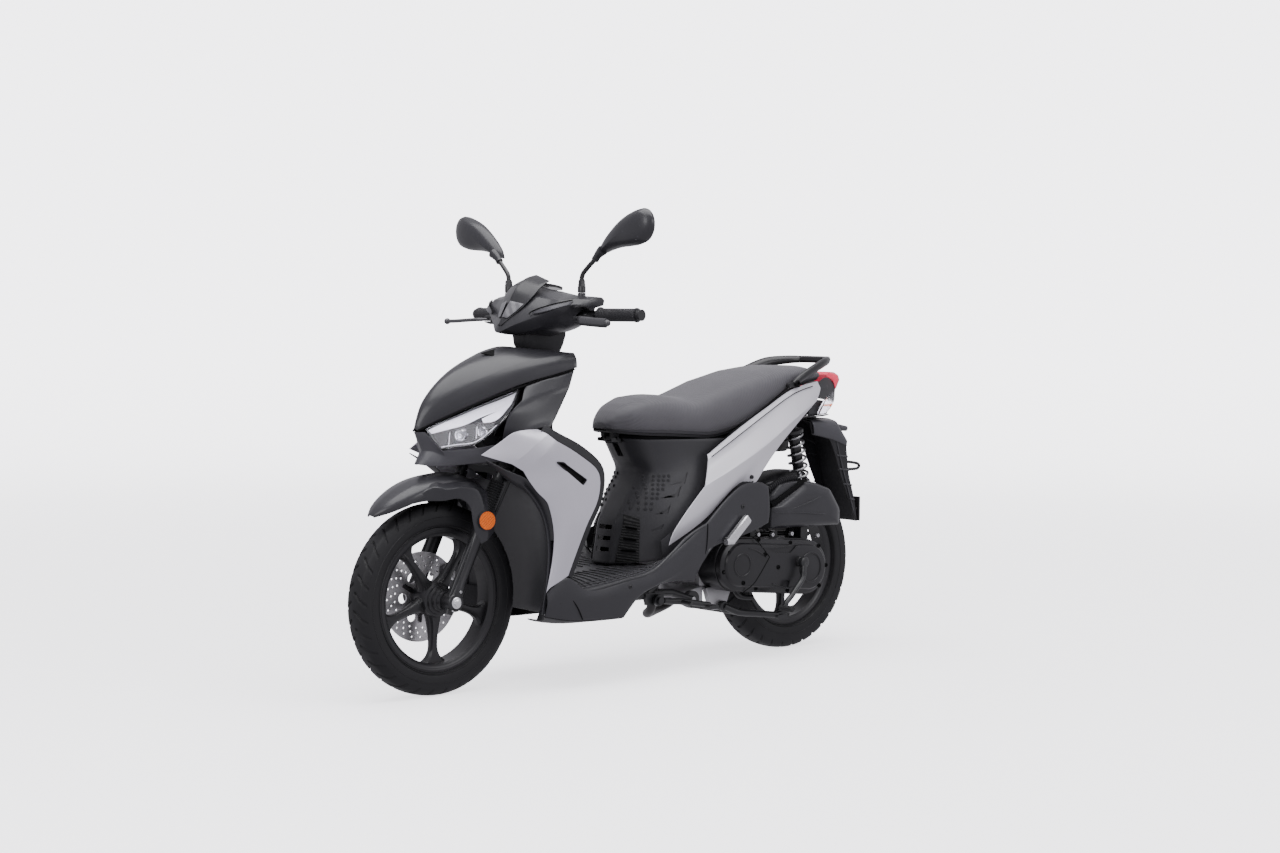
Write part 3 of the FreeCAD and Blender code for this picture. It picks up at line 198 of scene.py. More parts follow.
def make_materials():
    material("graphite", (0.026, 0.0255, 0.03), 0.34, 0.1, 0.06, 500, 0.02, coat=0.12,
             flake=0.12,
             gloss=0.4)
    # graphite_painted_lit is graphite with a paler base: painted light for the chin, the headset leaf and the
    # mudguard hood, where more light falls
    material("graphite_painted_lit", (0.06, 0.059, 0.068), 0.36, 0.15, 0.06, 500, 0.02, coat=0.1,
             flake=0.12, gloss=0.4)
    material("silver", (0.5, 0.485, 0.545), 0.34, 0.3, 0.03, 500, 0.02, coat=0.3, flake=0.08)
    # Pale silver: the dial marks' own colour, and on the side covers a painted highlight, the leg panels'
    # silver made paler where the top light falls
    material("pale_silver_and_painted_lit", (0.66, 0.645, 0.7), 0.36, 0.2, 0.03, 500, 0.02, coat=0.2,
             flake=0.06)
    material("grained", (0.023, 0.0225, 0.0255), 0.52, 0.0, 0.12, 1100, 0.25, gloss=0.25)
    material("satin", (0.03, 0.0295, 0.0335), 0.44, 0.0, 0.1, 1100, 0.14, gloss=0.35)
    material("shadow", (0.004, 0.004, 0.0046), 0.8, 0.0, 0.2, 600, 0.2, gloss=0.1)
    material("mesh_grille", (0.012, 0.012, 0.013), 0.6, 0.1, 0.2, 700, 0.6, gloss=0.25,
             ribs=("BANDS", "DIAGONAL", 0.003, 1.0, (0, 0, 0)))
    material("screen_patch", (0.13, 0.128, 0.14), 0.4, 0.2, 0.15, 700, 0.4,
             ribs=("BANDS", "DIAGONAL", 0.006, 1.0, (0, 0, 0)))
    material("floor_mat", (0.05, 0.049, 0.055), 0.62, 0.0, 0.1, 1200, 0.4, gloss=0.3)
    material("vinyl", (0.064, 0.0615, 0.071), 0.56, 0.0, 0.07, 900, 0.35, sheen=0.15, gloss=0.35,
             ribs=("BANDS", "DIAGONAL", 0.0046, 0.28, (0, 0, 0)))
    material("thread", (0.04, 0.039, 0.044), 0.6, 0.0, 0.2, 900, 0.4, gloss=0.3)
    material("paint", (0.014, 0.014, 0.016), 0.36, 0.1, 0.1, 260, 0.06, coat=0.1)
    material("black_alloy", (0.022, 0.0215, 0.024), 0.32, 0.3, 0.08, 700, 0.1)
    material("grey_alloy", (0.12, 0.118, 0.128), 0.36, 0.55, 0.08, 700, 0.12)
    material("lever_metal", (0.075, 0.074, 0.08), 0.3, 0.5, 0.08, 700, 0.08)
    material("cast", (0.42, 0.415, 0.43), 0.45, 0.85, 0.12, 420, 0.35)
    material("bright", (0.72, 0.715, 0.74), 0.26, 0.9, 0.06, 500, 0.08)
    material("chrome", (0.8, 0.8, 0.83), 0.12, 1.0, 0.04, 200, 0.02)
    material("spring_steel", (0.3, 0.298, 0.31), 0.22, 0.9, 0.06, 200, 0.04)
    material("steel", (0.55, 0.545, 0.56), 0.3, 0.9, 0.08, 400, 0.08)
    material("disc_steel", (0.56, 0.55, 0.57), 0.3, 0.75, 0.08, 500, 0.06,
             ribs=("RINGS", "Y", 0.003, 0.3, (0.685, 0.0, 0.25)))
    material("pipe", (0.04, 0.038, 0.039), 0.4, 0.55, 0.25, 350, 0.12)
    material("rubber", (0.016, 0.016, 0.0175), 0.58, 0.0, 0.12, 900, 0.25, gloss=0.3)
    material("grip_rubber", (0.028, 0.0275, 0.031), 0.6, 0.0, 0.1, 900, 0.3, gloss=0.3,
             ribs=("BANDS", "Y", 0.005, 0.9, (0, 0, 0)))
    material("tyre", (0.014, 0.0138, 0.0155), 0.56, 0.0, 0.18, 500, 0.2, gloss=0.25)
    material("tyre_wall", (0.014, 0.014, 0.0155), 0.5, 0.0, 0.12, 300, 0.1, gloss=0.3)
    material("lens", (0.95, 0.95, 0.98), 0.04, 0.0, 0.02, 60, 0.02, clear=1.0, gloss=0.3)
    material("lamp_white", (0.9, 0.88, 0.96), 0.2, 0.2, 0.04, 240, 0.1, glow=0.25,
             ribs=("BANDS", "X", 0.012, 0.4, (0, 0, 0)))
    material("reflector", (0.5, 0.495, 0.53), 0.14, 1.0, 0.05, 90, 0.3)
    material("red", (0.85, 0.045, 0.1), 0.16, 0.0, 0.1, 60, 0.02, coat=0.5, glow=0.25,
             ribs=("BANDS", "Y", 0.006, 0.5, (0, 0, 0)))
    material("amber", (0.72, 0.125, 0.004), 0.3, 0.0, 0.3, 160, 0.6, coat=0.15, flake=0.45,
             gloss=0.3,
             ribs=("BANDS", "DIAGONAL", 0.004, 0.9, (0, 0, 0)))
    material("dial", (0.01, 0.01, 0.012), 0.1, 0.0, 0.1, 200, 0.02, coat=0.4)
    material("screen", (0.022, 0.0215, 0.025), 0.3, 0.1, 0.08, 200, 0.02, coat=0.08, gloss=0.35)
    material("mirror_glass", (0.88, 0.88, 0.9), 0.03, 1.0, 0.01, 20, 0.0)
    studio = material("studio_floor", (0.86, 0.855, 0.875), 0.75, 0.0, 0.008, 90, 0.02)
    glow_outwards(studio, 1.7, 3.9)
    return studio


def glow_outwards(made, near, far):
    """The studio is paler the farther it is from the part."""
    nodes, links = made.node_tree.nodes, made.node_tree.links
    place = nodes.new("ShaderNodeTexCoord")
    reach = nodes.new("ShaderNodeVectorMath")
    reach.operation = "LENGTH"
    span = nodes.new("ShaderNodeMapRange")
    span.inputs["From Min"].default_value = 1.0
    span.inputs["From Max"].default_value = 11.0
    span.inputs["To Min"].default_value = near
    span.inputs["To Max"].default_value = far
    links.new(place.outputs["Object"], reach.inputs[0])
    links.new(reach.outputs["Value"], span.inputs["Value"])
    links.new(span.outputs["Result"], nodes["Principled BSDF"].inputs["Emission Strength"])
    nodes["Principled BSDF"].inputs["Emission Color"].default_value = (0.975, 0.967, 1.0, 1)


# ---- shapes: lists of points in millimetres, and faces ------------------------------------------------
def merged(shapes):
    verts, faces = [], []
    for points, polygons in shapes:
        start = len(verts)
        verts.extend(points)
        faces.extend(tuple(i + start for i in polygon) for polygon in polygons)
    return verts, faces


def mirrored(shape):
    verts, faces = shape
    return [Vector((v.x, -v.y, v.z)) for v in verts], [tuple(reversed(f)) for f in faces]


def moved(shape, matrix):
    verts, faces = shape
    return [matrix @ v for v in verts], faces


def shifted(shape, x, y, z):
    return moved(shape, Matrix.Translation((x, y, z)))


def both(shape):
    return merged([shape, mirrored(shape)])


def on_side(shape, side):
    """A left-hand shape as it is, or its mirror image for the right."""
    return shape if side > 0 else mirrored(shape)


def spline(points, per, sharp=(), closed=False):
    """A smooth curve through the points, with a corner at each sharp index."""
    count = len(points)
    spans = count if closed else count - 1
    result = []

    def neighbour(i, step):
        if closed:
            return points[(i + step) % count]
        return points[i + step] if 0 <= i + step < count else None

    def slope(i, length, back, ahead):
        here = points[i % count]
        if back is None or ahead is None or (i % count) in sharp:
            return None
        before, after = (here - back).length, (ahead - here).length
        return (ahead - back) * (length / max(before + after, 1e-6))

    for i in range(spans):
        a, b = points[i], points[(i + 1) % count]
        length = (b - a).length
        start = slope(i, length, neighbour(i, -1), b)
        end = slope(i + 1, length, a, neighbour((i + 1) % count, 1) if closed else neighbour(i + 1, 1))
        chord = b - a
        if start is None and end is None:
            start, end = chord, chord
        elif start is None:
            start = chord * 1.5 - end * 0.5
        elif end is None:
            end = chord * 1.5 - start * 0.5
        for k in range(per):
            t = k / per
            result.append(a * (2 * t ** 3 - 3 * t ** 2 + 1) + start * (t ** 3 - 2 * t ** 2 + t)
                          + b * (3 * t ** 2 - 2 * t ** 3) + end * (t ** 3 - t ** 2))
    if not closed:
        result.append(points[-1].copy())
    return result


def refined(rows, per=5, sharp_rows=(), sharp_cols=(), per_cols=None):
    """Rows of points with smooth lines run through them both ways."""
    rows = [[Vector(p) for p in row] for row in rows]
    across = [spline(row, per_cols or per, sharp_cols) for row in rows]
    columns = [spline(list(column), per, sharp_rows) for column in zip(*across)]
    return [list(row) for row in zip(*columns)]


def grid(rows):
    """An open skin of quads over rows of points."""
    width = len(rows[0])
    verts = [p for row in rows for p in row]
    faces = []
    for i in range(len(rows) - 1):
        for j in range(width - 1):
            a = i * width + j
            faces.append((a, a + 1, a + width + 1, a + width))
    return verts, faces


def facing(shape, outward):
    """Turns a surface over if its faces look the wrong way."""
    verts, faces = shape
    total = Vector()
    for face in faces:
        a, b, c = (verts[i] for i in face[:3])
        total += (b - a).cross(c - a)
    if total.dot(Vector(outward)) < 0:
        faces = [tuple(reversed(f)) for f in faces]
    return verts, faces


def sheet(outward, rows, per=5, sharp_rows=(), sharp_cols=()):
    """A smooth sheet through rows of points, facing outward."""
    return facing(grid(refined(rows, per, sharp_rows, sharp_cols)), outward)


def whole(half):
    """Completes left-hand rows, which end on the middle plane, with their mirror image."""
    return [[Vector(p) for p in row] + [Vector((p[0], -p[1], p[2])) for p in reversed(row[:-1])]
            for row in half]


def rings(loops, caps=True):
    """Skins equal closed loops of points one after the other."""
    count = len(loops[0])
    verts = [Vector(p) for loop in loops for p in loop]
    faces = []
    for i in range(len(loops) - 1):
        for j in range(count):
            a, b = i * count + j, i * count + (j + 1) % count
            faces.append((a, b, b + count, a + count))
    if caps:
        faces.append(tuple(reversed(range(count))))
        faces.append(tuple(range(len(verts) - count, len(verts))))
    return verts, faces


def tube(points, radius, sides=14, per=6, sharp=(), flat=1.0, closed=False):
    """A round bar swept along a smooth line; radius may be one number or one for each point."""
    points = [Vector(p) for p in points]
    radii = [radius] * len(points) if isinstance(radius, (int, float)) else list(radius)
    line = spline(points, per, sharp, closed)
    size = spline([Vector((r, 0, 0)) for r in radii], per, (), closed)
    loops = []
    tangents = [(line[min(i + 1, len(line) - 1)] - line[max(i - 1, 0)]).normalized()
                for i in range(len(line))]
    side = tangents[0].orthogonal().normalized()
    for at, tangent, r in zip(line, tangents, size):
        side = (side - tangent * side.dot(tangent)).normalized()
        over = tangent.cross(side)
        loops.append([at + (side * math.cos(2 * math.pi * k / sides)
                            + over * math.sin(2 * math.pi * k / sides) * flat) * r.x for k in range(sides)])
    if closed:
        return rings(loops + [loops[0]], False)
    return rings(loops)


def lathe(profile, start, axis, steps=48, closed=False):
    """A profile of (distance along the axis, radius) turned about the axis."""
    start, axis = Vector(start), Vector(axis).normalized()
    side = axis.orthogonal().normalized()
    over = axis.cross(side)
    loops = []
    for along, radius in profile:
        loops.append([start + axis * along + (side * math.cos(2 * math.pi * k / steps)
                                              + over * math.sin(2 * math.pi * k / steps)) * max(radius, 0.01)
                      for k in range(steps)])
    if closed:
        return rings(loops + [loops[0]], False)
    return rings(loops)


def wheel_lathe(profile, axle, steps=96, closed=True):
    """A profile of (y, radius) turned about the axle."""
    return lathe(profile, (axle[0], 0, axle[1]), (0, 1, 0), steps, closed)


def block(x0, x1, y0, y1, z0, z1):
    return rings([[(x0, y, z0), (x1, y, z0), (x1, y, z1), (x0, y, z1)] for y in (y0, y1)])


def rounded(outline, radius, steps=4):
    """Rounds each corner of an outline of (x, z) points."""
    result = []
    count = len(outline)
    for i, corner in enumerate(outline):
        here = Vector(corner)
        before, after = Vector(outline[i - 1]) - here, Vector(outline[(i + 1) % count]) - here
        cut = min(radius, before.length * 0.45, after.length * 0.45)
        a, b = here + before.normalized() * cut, here + after.normalized() * cut
        for k in range(steps + 1):
            t = k / steps
            result.append(tuple(a * (1 - t) ** 2 + here * 2 * t * (1 - t) + b * t ** 2))
    return result


def on_circle(centre, radius, angle, y):
    return centre[0] + radius * math.cos(angle), y, centre[1] + radius * math.sin(angle)


def plate(outline, y0, y1, radius=0.0):
    """An (x, z) outline pulled from y0 to y1, its corners rounded where a radius is given."""
    if radius:
        outline = rounded(outline, radius)
    return rings([[(x, y, z) for x, z in outline] for y in (y0, y1)])


def prism(outline, radius, ys):
    """A rounded (x, z) outline skinned through each y."""
    return rings([[(x, y, z) for x, z in rounded(outline, radius)] for y in ys])


def lofted(loops, per):
    """Closed loops joined by a smooth line through their matching points."""
    columns = [spline(list(line), per) for line in zip(*loops)]
    return rings([list(loop) for loop in zip(*columns)])


def bolt(at, axis, radius=6.0, height=4.0):
    """A domed screw head with a socket."""
    profile = [(0, radius), (height * 0.6, radius), (height, radius * 0.75), (height, radius * 0.45),
               (height * 0.4, radius * 0.4), (height * 0.4, 0)]
    return lathe(profile, at, axis, 18)


# ---- pieces -------------------------------------------------------------------------------------------
def bake(piece, angle):
    """Fixes the modifiers in the mesh and marks the edges sharper than angle."""
    graph = bpy.context.evaluated_depsgraph_get()
    mesh = bpy.data.meshes.new_from_object(piece.evaluated_get(graph))
    piece.modifiers.clear()
    old = piece.data
    piece.data = mesh
    mesh.name = piece.name
    bpy.data.meshes.remove(old)
    build = bmesh.new()
    build.from_mesh(mesh)
    bmesh.ops.remove_doubles(build, verts=build.verts, dist=1e-6)
    bmesh.ops.recalc_face_normals(build, faces=build.faces)
    build.to_mesh(mesh)
    build.free()
    mesh.shade_smooth()
    mesh.set_sharp_from_angle(angle=math.radians(angle))


def raw_object(name, shape):
    verts, faces = shape
    mesh = bpy.data.meshes.new(name)
    mesh.from_pydata([v * MM for v in verts], [], faces)
    thing = bpy.data.objects.new(name, mesh)
    bpy.context.collection.objects.link(thing)
    return thing


def piece(name, shapes, look, body, replaces=(), thick=0.0, bevel=0.0, angle=34, holes=()):
    """One finished piece: thickened, bevelled, cut and shaded, and riding on its body."""
    made = raw_object(name, merged(shapes))
    made.data.materials.append(LOOKS[look])
    if thick:
        wall = made.modifiers.new("wall", "SOLIDIFY")
        wall.thickness = thick * MM
        wall.offset = -1
        wall.use_even_offset = True
    if bevel:
        edge = made.modifiers.new("edge", "BEVEL")
        edge.width = bevel * MM
        edge.segments = 2
        edge.limit_method = "ANGLE"
        edge.angle_limit = math.radians(32)
        edge.use_clamp_overlap = not thick
    if holes:
        bake(made, angle)
        cutter = raw_object(name + "_cutter", merged(holes))
        build = bmesh.new()
        build.from_mesh(cutter.data)
        bmesh.ops.recalc_face_normals(build, faces=build.faces)
        build.to_mesh(cutter.data)
        build.free()
        cut = made.modifiers.new("cut", "BOOLEAN")
        cut.operation = "DIFFERENCE"
        cut.solver = "EXACT"
        cut.object = cutter
        bake(made, angle)
        bpy.data.objects.remove(cutter)
    else:
        bake(made, angle)
    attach(made, body)
    if replaces:
        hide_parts(*replaces)
    return made


def panel(name, rows, look, body, outward, replaces=(), per=5, sharp_rows=(), sharp_cols=(), thick=3.0,
          bevel=0.7, holes=(), angle=26):
    """A moulded panel of the given thickness through rows of points."""
    surface = sheet(outward, rows, per, sharp_rows, sharp_cols)
    return piece(name, [surface], look, body, replaces, thick, bevel, angle, holes)


def side_panels(name, rows, look, body, outward, replaces=(), per=5, sharp_rows=(), sharp_cols=(), thick=3.0,
                bevel=0.7, holes=(), angle=26):
    """The same panel on both sides."""
    surface = sheet(outward, rows, per, sharp_rows, sharp_cols)
    for side, suffix in ((1, "_left"), (-1, "_right")):
        cuts = [on_side(hole, side) for hole in holes]
        nodes = [node + suffix for node in replaces]
        piece(name + suffix, [on_side(surface, side)], look, body, nodes, thick, bevel, angle, cuts)


def dress(node, look):
    """Gives one of the frame's own meshes a look."""
    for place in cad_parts[node].material_slots:
        place.material = LOOKS[look]


# ---- studio -------------------------------------------------------------------------------------------
def make_studio(look):
    """A pale floor that curves up into a wall all round, far enough out to stay plain."""
    profile = [(0, 0.02), (0, 6000), (0, 9000), (250, 10200), (1000, 11400), (2300, 12100), (4200, 12300),
               (9000, 12300)]
    line = spline([Vector((z, r, 0)) for z, r in profile], 6, (1,))
    loops = [[(p.y * math.cos(2 * math.pi * k / 96), p.y * math.sin(2 * math.pi * k / 96), p.x)
              for k in range(96)] for p in line]
    floor = raw_object("studio", rings(loops, False))
    floor.data.materials.append(look)
    floor.data.shade_smooth()
    floor.visible_diffuse = False
    floor.visible_glossy = False
    floor.visible_shadow = False


# ---- front bodywork -----------------------------------------------------------------------------------
def nose_brow():
    """A crowned brow with a crease along its shoulder and a rolled band above the lamps."""
    left = [
        [(742, 9, 689), (743, 7, 690), (744, 5, 691), (746, 0, 692)],
        [(687, 40, 719), (694, 37, 737), (702, 27, 755), (714, 0, 766)],
        [(600, 80, 760), (607, 75, 787), (614, 60, 810), (635, 0, 837)],
        [(484, 125, 809), (494, 117, 836), (503, 97, 857), (530, 0, 886)],
        [(400, 152, 833), (412, 144, 858), (424, 124, 876), (465, 0, 903)],
        [(345, 171, 850), (342, 165, 872), (341, 153, 888), (432, 0, 900)],
    ]
    panel("brow", whole(left), "graphite", "chassis", (0.4, 0, 1), ["nose_brow"], 6, (), (2, 4), bevel=1.0)


def front_cowl():
    side = [
        [(484, 125, 801), (435, 141, 818), (390, 154, 829), (352, 167, 842)],
        [(506, 141, 765), (458, 153, 779), (416, 165, 790), (374, 175, 798)],
        [(552, 142, 722), (506, 153, 720), (460, 164, 718), (418, 174, 722)],
        [(562, 130, 655), (530, 150, 672), (490, 164, 690), (438, 176, 696)],
    ]
    side_panels("cowl", side, "graphite", "chassis", (0, 1, 0), (), 6, (1,), (), bevel=1.0)
    chin = [
        [(562, 134, 655), (622, 103, 644), (696, 52, 636), (727, 22, 684), (744, 0, 684)],
        [(548, 137, 634), (612, 106, 624), (686, 54, 622), (706, 28, 634), (722, 0, 636)],
        [(540, 122, 608), (600, 95, 604), (692, 50, 596), (722, 26, 598), (742, 0, 602)],
    ]
    # The chin's paler graphite is painted light.
    panel("chin", whole(chin), "graphite_painted_lit", "chassis", (1, 0, 0), ["front_cowl"], 3, (1,),
          (1, 2, 3, 5, 6, 7),
          bevel=1.2)
    lip = both(tube([(742, 8, 687), (687, 41, 717), (600, 81, 758.5), (506, 124, 797), (482, 128, 804)],
                    3.0, 8, 6))
    piece("lamp_gasket", [lip], "shadow", "chassis")
    # A strip of painted shade behind the lamp's top edge, filling the gap between the brow and the lamps.
    shade_backing = sheet((0, 0, 1), [
        [(741, 6, 688), (688, 38, 716), (602, 78, 757), (506, 120, 797)],
        [(716, 6, 676), (664, 28, 706), (578, 62, 748), (486, 106, 786)],
    ], 4)
    piece("lamp_shade_backing", [both(shade_backing)], "shadow", "chassis", (), 2.0, 0.0)
    piece("brow_seam", [both(tube([(484, 126, 803), (435, 142, 821), (390, 155, 832), (350, 169, 845)],
                                  1.5, 8))],
          "shadow", "chassis")


def lamp_rows(shift, back):
    """The lamp opening's surface, moved inwards."""
    face = [
        [(727, 21, 692), (687, 43, 712), (600, 83, 752), (508, 127, 792)],
        [(712, 36, 664), (672, 63, 684), (610, 100, 706), (530, 136, 752)],
        [(698, 51, 640), (665, 74, 647), (622, 105, 657), (562, 136, 714)],
    ]
    return [[(x - back, y - shift, z) for x, y, z in row] for row in face]


def headlight():
    """A clear lens over a white strip with an arrow end, a dark housing and a projector in a ring."""
    lens = sheet((0.4, 1, 0), lamp_rows(0.5, 0.5), 6)
    piece("lamp_lens", [lens, mirrored(lens)], "lens", "chassis", ["headlight_unit"], 1.2)
    back = sheet((0.4, 1, 0), lamp_rows(17, 22), 4)
    piece("lamp_housing", [lens_wall(), mirrored(lens_wall()), back, mirrored(back)], "grained", "chassis",
          (), 1.5)
    recess = sheet((0, 0, 1), [
        [(545, 16, 886), (532, 34, 882), (516, 52, 874)],
        [(505, 14, 894.5), (494, 38, 888), (484, 62, 876)],
        [(458, 14, 902), (450, 36, 896), (448, 58, 886)],
    ], 3)
    piece("brow_recess", [recess], "shadow", "chassis", (), 2.0, 0.6)
    strip = sheet((0.4, 1, 0), [
        [(722, 20, 690), (687, 39, 709), (640, 60, 730), (600, 79, 748), (550, 101, 768), (512, 120, 787)],
        [(714, 25, 681), (684, 43, 690), (640, 70, 704), (606, 87, 722), (560, 110, 742), (532, 124, 757)],
    ], 4)
    arrow = sheet((0.4, 1, 0), [
        [(598, 91, 718), (566, 108, 736), (530, 127, 756)],
        [(596, 95, 708), (572, 110, 712), (556, 122, 728)],
    ], 3)
    piece("lamp_strip", [both(shifted(strip, -9, -6, -2)), both(arrow)], "lamp_white",
          "chassis", (), 2.0, 0.5)
    aim = Vector((0.93, 0.32, -0.1)).normalized()
    parts, glass = [], []
    for place, size in (((646, 68, 676), 17.0), ((596, 96, 684), 15.0)):
        ring = lathe([(-6, size), (5, size), (7, size - 1.5), (5, size - 4), (-6, size - 5)], place, aim,
                     32, True)
        bowl = lathe([(2, size - 4), (-5, size * 0.5), (-7, 0)], place, aim, 32)
        parts += [both(ring), both(bowl)]
        dome = lathe([(-2, size * 0.68), (3, size * 0.6), (7, size * 0.4), (9, 0)], place, aim, 32)
        glass.append(both(dome))
    piece("lamp_reflectors", parts + [both(lamp_steps())], "reflector", "chassis")
    piece("lamp_projectors", glass, "lens", "chassis")


def lens_wall():
    """The housing's edge, from the lens back to the housing's floor."""
    outer, inner = lamp_rows(1.5, 1.5), lamp_rows(17, 22)
    loops = []
    for rows in (outer, inner):
        loops.append(rows[0] + [rows[1][-1]] + list(reversed(rows[2])) + [rows[1][0]])
    return grid([[Vector(p) for p in loop + loop[:1]] for loop in loops])


def lamp_steps():
    """Stepped bright edges between the two projectors and along the lamp's lower lip."""
    low = tube([(694, 47, 646), (664, 68, 652), (622, 98, 660), (574, 122, 702)], 2.0, 8, 5)
    posts = [tube([(x, y, z), (x - 5, y - 2, z + 30)], 1.3, 6, 1)
             for x, y, z in ((676, 54, 652), (618, 93, 668))]
    return merged([low] + posts)


def leg_panels():
    """The silver leg panel with its bevelled head, its slot, and the dark parts behind it."""
    rows = [
        [(650, 156, 630), (600, 164, 659), (556, 173, 686), (484, 180, 692)],
        [(572, 184, 605), (544, 197, 627), (512, 205, 653), (473, 208, 680)],
        [(540, 191, 586), (516, 203, 605), (486, 213, 631), (450, 216, 662)],
        [(524, 194, 562), (486, 205, 578), (438, 217, 600), (372, 223, 620)],
        [(500, 198, 532), (464, 209, 541), (416, 220, 556), (316, 228, 574)],
        [(467, 204, 497), (440, 213, 504), (400, 222, 510), (319, 230, 508)],
        [(445, 200, 403), (437, 209, 416), (420, 218, 430), (356, 226, 436)],
        [(468, 198, 268), (458, 202, 280), (440, 206, 290), (403, 210, 309)],
    ]
    slot_outline = rounded([(452, 608), (428, 606), (352, 558), (366, 543)], 6)
    slot = plate(slot_outline, 190, 260)
    side_panels("leg", rows, "silver", "chassis", (0, 1, 0), ("leg_panel",), 5, (1, 2), (), bevel=0.9,
                holes=(slot,), angle=11)
    bezel = tube([(x, 219.5 - abs(z - 578) * 0.06, z) for x, z in [slot_outline[i] for i in range(0, 20, 2)]],
                 1.6, 8, 3, closed=True)
    grille = sheet((0, 1, 0), [[(462, 203, 616), (340, 214, 560)], [(446, 198, 584), (352, 208, 534)]], 4)
    piece("slot_bezel", [both(bezel)], "grained", "chassis")
    piece("slot_mesh", [both(grille)], "mesh_grille", "chassis", (), 2.0)
    trim = [
        [(484, 192, 686), (452, 207, 662), (372, 221, 620), (315, 227, 573), (318, 229, 508), (355, 225, 436),
         (402, 209, 308)],
        [(470, 189, 703), (438, 204, 684), (358, 218, 642), (296, 223, 586), (300, 225, 506), (338, 222, 430),
         (388, 206, 300)],
        [(452, 176, 702), (428, 186, 684), (350, 200, 642), (300, 206, 586), (304, 208, 506), (344, 208, 430),
         (392, 194, 300)],
    ]
    side_panels("leg_trim", trim, "grained", "chassis", (-0.3, 1, 0.4), (), 5, (1,), (), 2.5, 0.8)
    duct = [
        [(643, 165, 617), (584, 180, 588), (524, 192, 561), (467, 202, 497), (445, 198, 403)],
        [(622, 150, 604), (565, 163, 566), (506, 175, 532), (466, 186, 470), (452, 188, 400)],
        [(600, 132, 602), (548, 142, 556), (496, 156, 520), (462, 170, 460), (455, 180, 398)],
    ]
    side_panels("leg_duct", duct, "satin", "chassis", (0.6, 0.5, -0.4), (), 5, (1,), (), 2.5, 0.8)


def inner_shield():
    left = [
        [(398, 196, 288), (352, 110, 292), (316, 0, 296)],
        [(352, 214, 430), (322, 120, 430), (298, 0, 430)],
        [(314, 220, 510), (306, 120, 510), (290, 0, 510)],
        [(312, 220, 575), (312, 120, 575), (292, 0, 575)],
        [(368, 190, 636), (352, 100, 636), (302, 0, 636)],
        [(426, 168, 694), (364, 90, 694), (310, 0, 694)],
        [(376, 164, 780), (336, 100, 780), (308, 0, 780)],
        [(334, 156, 866), (320, 100, 872), (306, 0, 876)],
    ]
    hole = lathe([(-40, 12), (20, 12)], (300, -70, 800.3), LOCK_AXIS, 32)
    panel("shield", whole(left), "satin", "chassis", (-1, 0, 0), ["inner_leg_shield"], 6, (), (), 3.0, 1.0,
          (hole,))
    ring = lathe([(-6, 12), (8, 12), (11, 9.5), (11, 8.6), (-6, 8.6)], LOCK_FACE, LOCK_AXIS, 40, True)
    piece("lock_ring", [ring], "steel", "chassis")
    hook = tube([(300, 0, 600), (276, 0, 594), (268, 0, 574), (276, 0, 558), (290, 0, 560)], 5.0, 12, 5)
    piece("bag_hook", [hook, lathe([(0, 14), (12, 12), (14, 6)], (303, 0, 600), (-1, 0, 0), 24)],
          "grained", "chassis")


def wheel_arch():
    left = [
        [(478, 190, 212), (430, 184, 204), (404, 100, 200), (396, 0, 200)],
        [(466, 194, 300), (424, 184, 300), (398, 100, 300), (390, 0, 300)],
        [(462, 194, 400), (432, 182, 400), (410, 100, 415), (402, 0, 415)],
        [(482, 190, 480), (452, 178, 480), (430, 100, 500), (420, 0, 500)],
        [(538, 182, 550), (500, 168, 545), (434, 100, 543), (426, 0, 543)],
    ]
    panel("arch", whole(left), "graphite", "chassis", (1, 0, 0), ["wheel_arch"], 5, (), (1, 5), 3.0, 1.0)


def floor():
    left = [
        [(392, 194, 258), (346, 110, 286), (313, 0, 290)],
        [(296, 198, 268), (290, 100, 284), (280, 0, 286)],
        [(200, 198, 281), (200, 100, 288), (200, 0, 288)],
        [(100, 196, 298), (100, 100, 296), (100, 0, 296)],
        [(20, 190, 342), (20, 122, 304), (20, 0, 304)],
    ]
    strip = [
        [(19.5, 190, 342.3), (19.5, 156, 323.3), (19.5, 124, 305)],
        [(-40, 184, 378), (-38, 170, 350), (-36, 157, 322)],
        [(-110, 182, 408), (-108, 177, 396), (-106, 172, 386)],
    ]
    deck = sheet((0, 0, 1), whole(left))
    side = sheet((0, 0, 1), strip, 5)
    piece("deck", [deck, side, mirrored(side)], "satin", "chassis", ["floorboard"], 3.0, 0.8)
    fine = refined(left, 8, (), (), 24)
    ribs = []
    for row in range(4, 30, 2):
        line = [p + Vector((0, 0, 1.2)) for p in fine[row][5:44]]
        ribs.append(tube(line[::4], 1.6, 6, 2))
    for column in (3, 7, 11):
        line = [fine[row][column] + Vector((0, 0, 0.9)) for row in range(3, 31, 3)]
        ribs.append(tube(line, 1.4, 6, 2))
    piece("deck_ribs", [both(merged(ribs))], "floor_mat", "chassis")
    bead = [(402, 200, 256), (296, 200.5, 265), (200, 200, 279), (100, 198.5, 295), (21, 193, 339),
            (-40, 187, 377), (-110, 184, 407)]
    piece("deck_bead", [both(tube(bead, 4.2, 10, 6))], "satin", "chassis")
    filler = sheet((0, 1, 0), [
        [(30, 160, 372), (-100, 158, 440), (-230, 158, 520), (-330, 156, 540)],
        [(20, 158, 310), (-100, 158, 380), (-230, 156, 440), (-330, 154, 480)],
    ], 3)
    piece("floor_filler", [both(filler)], "satin", "chassis", (), 2.0, 0.0)


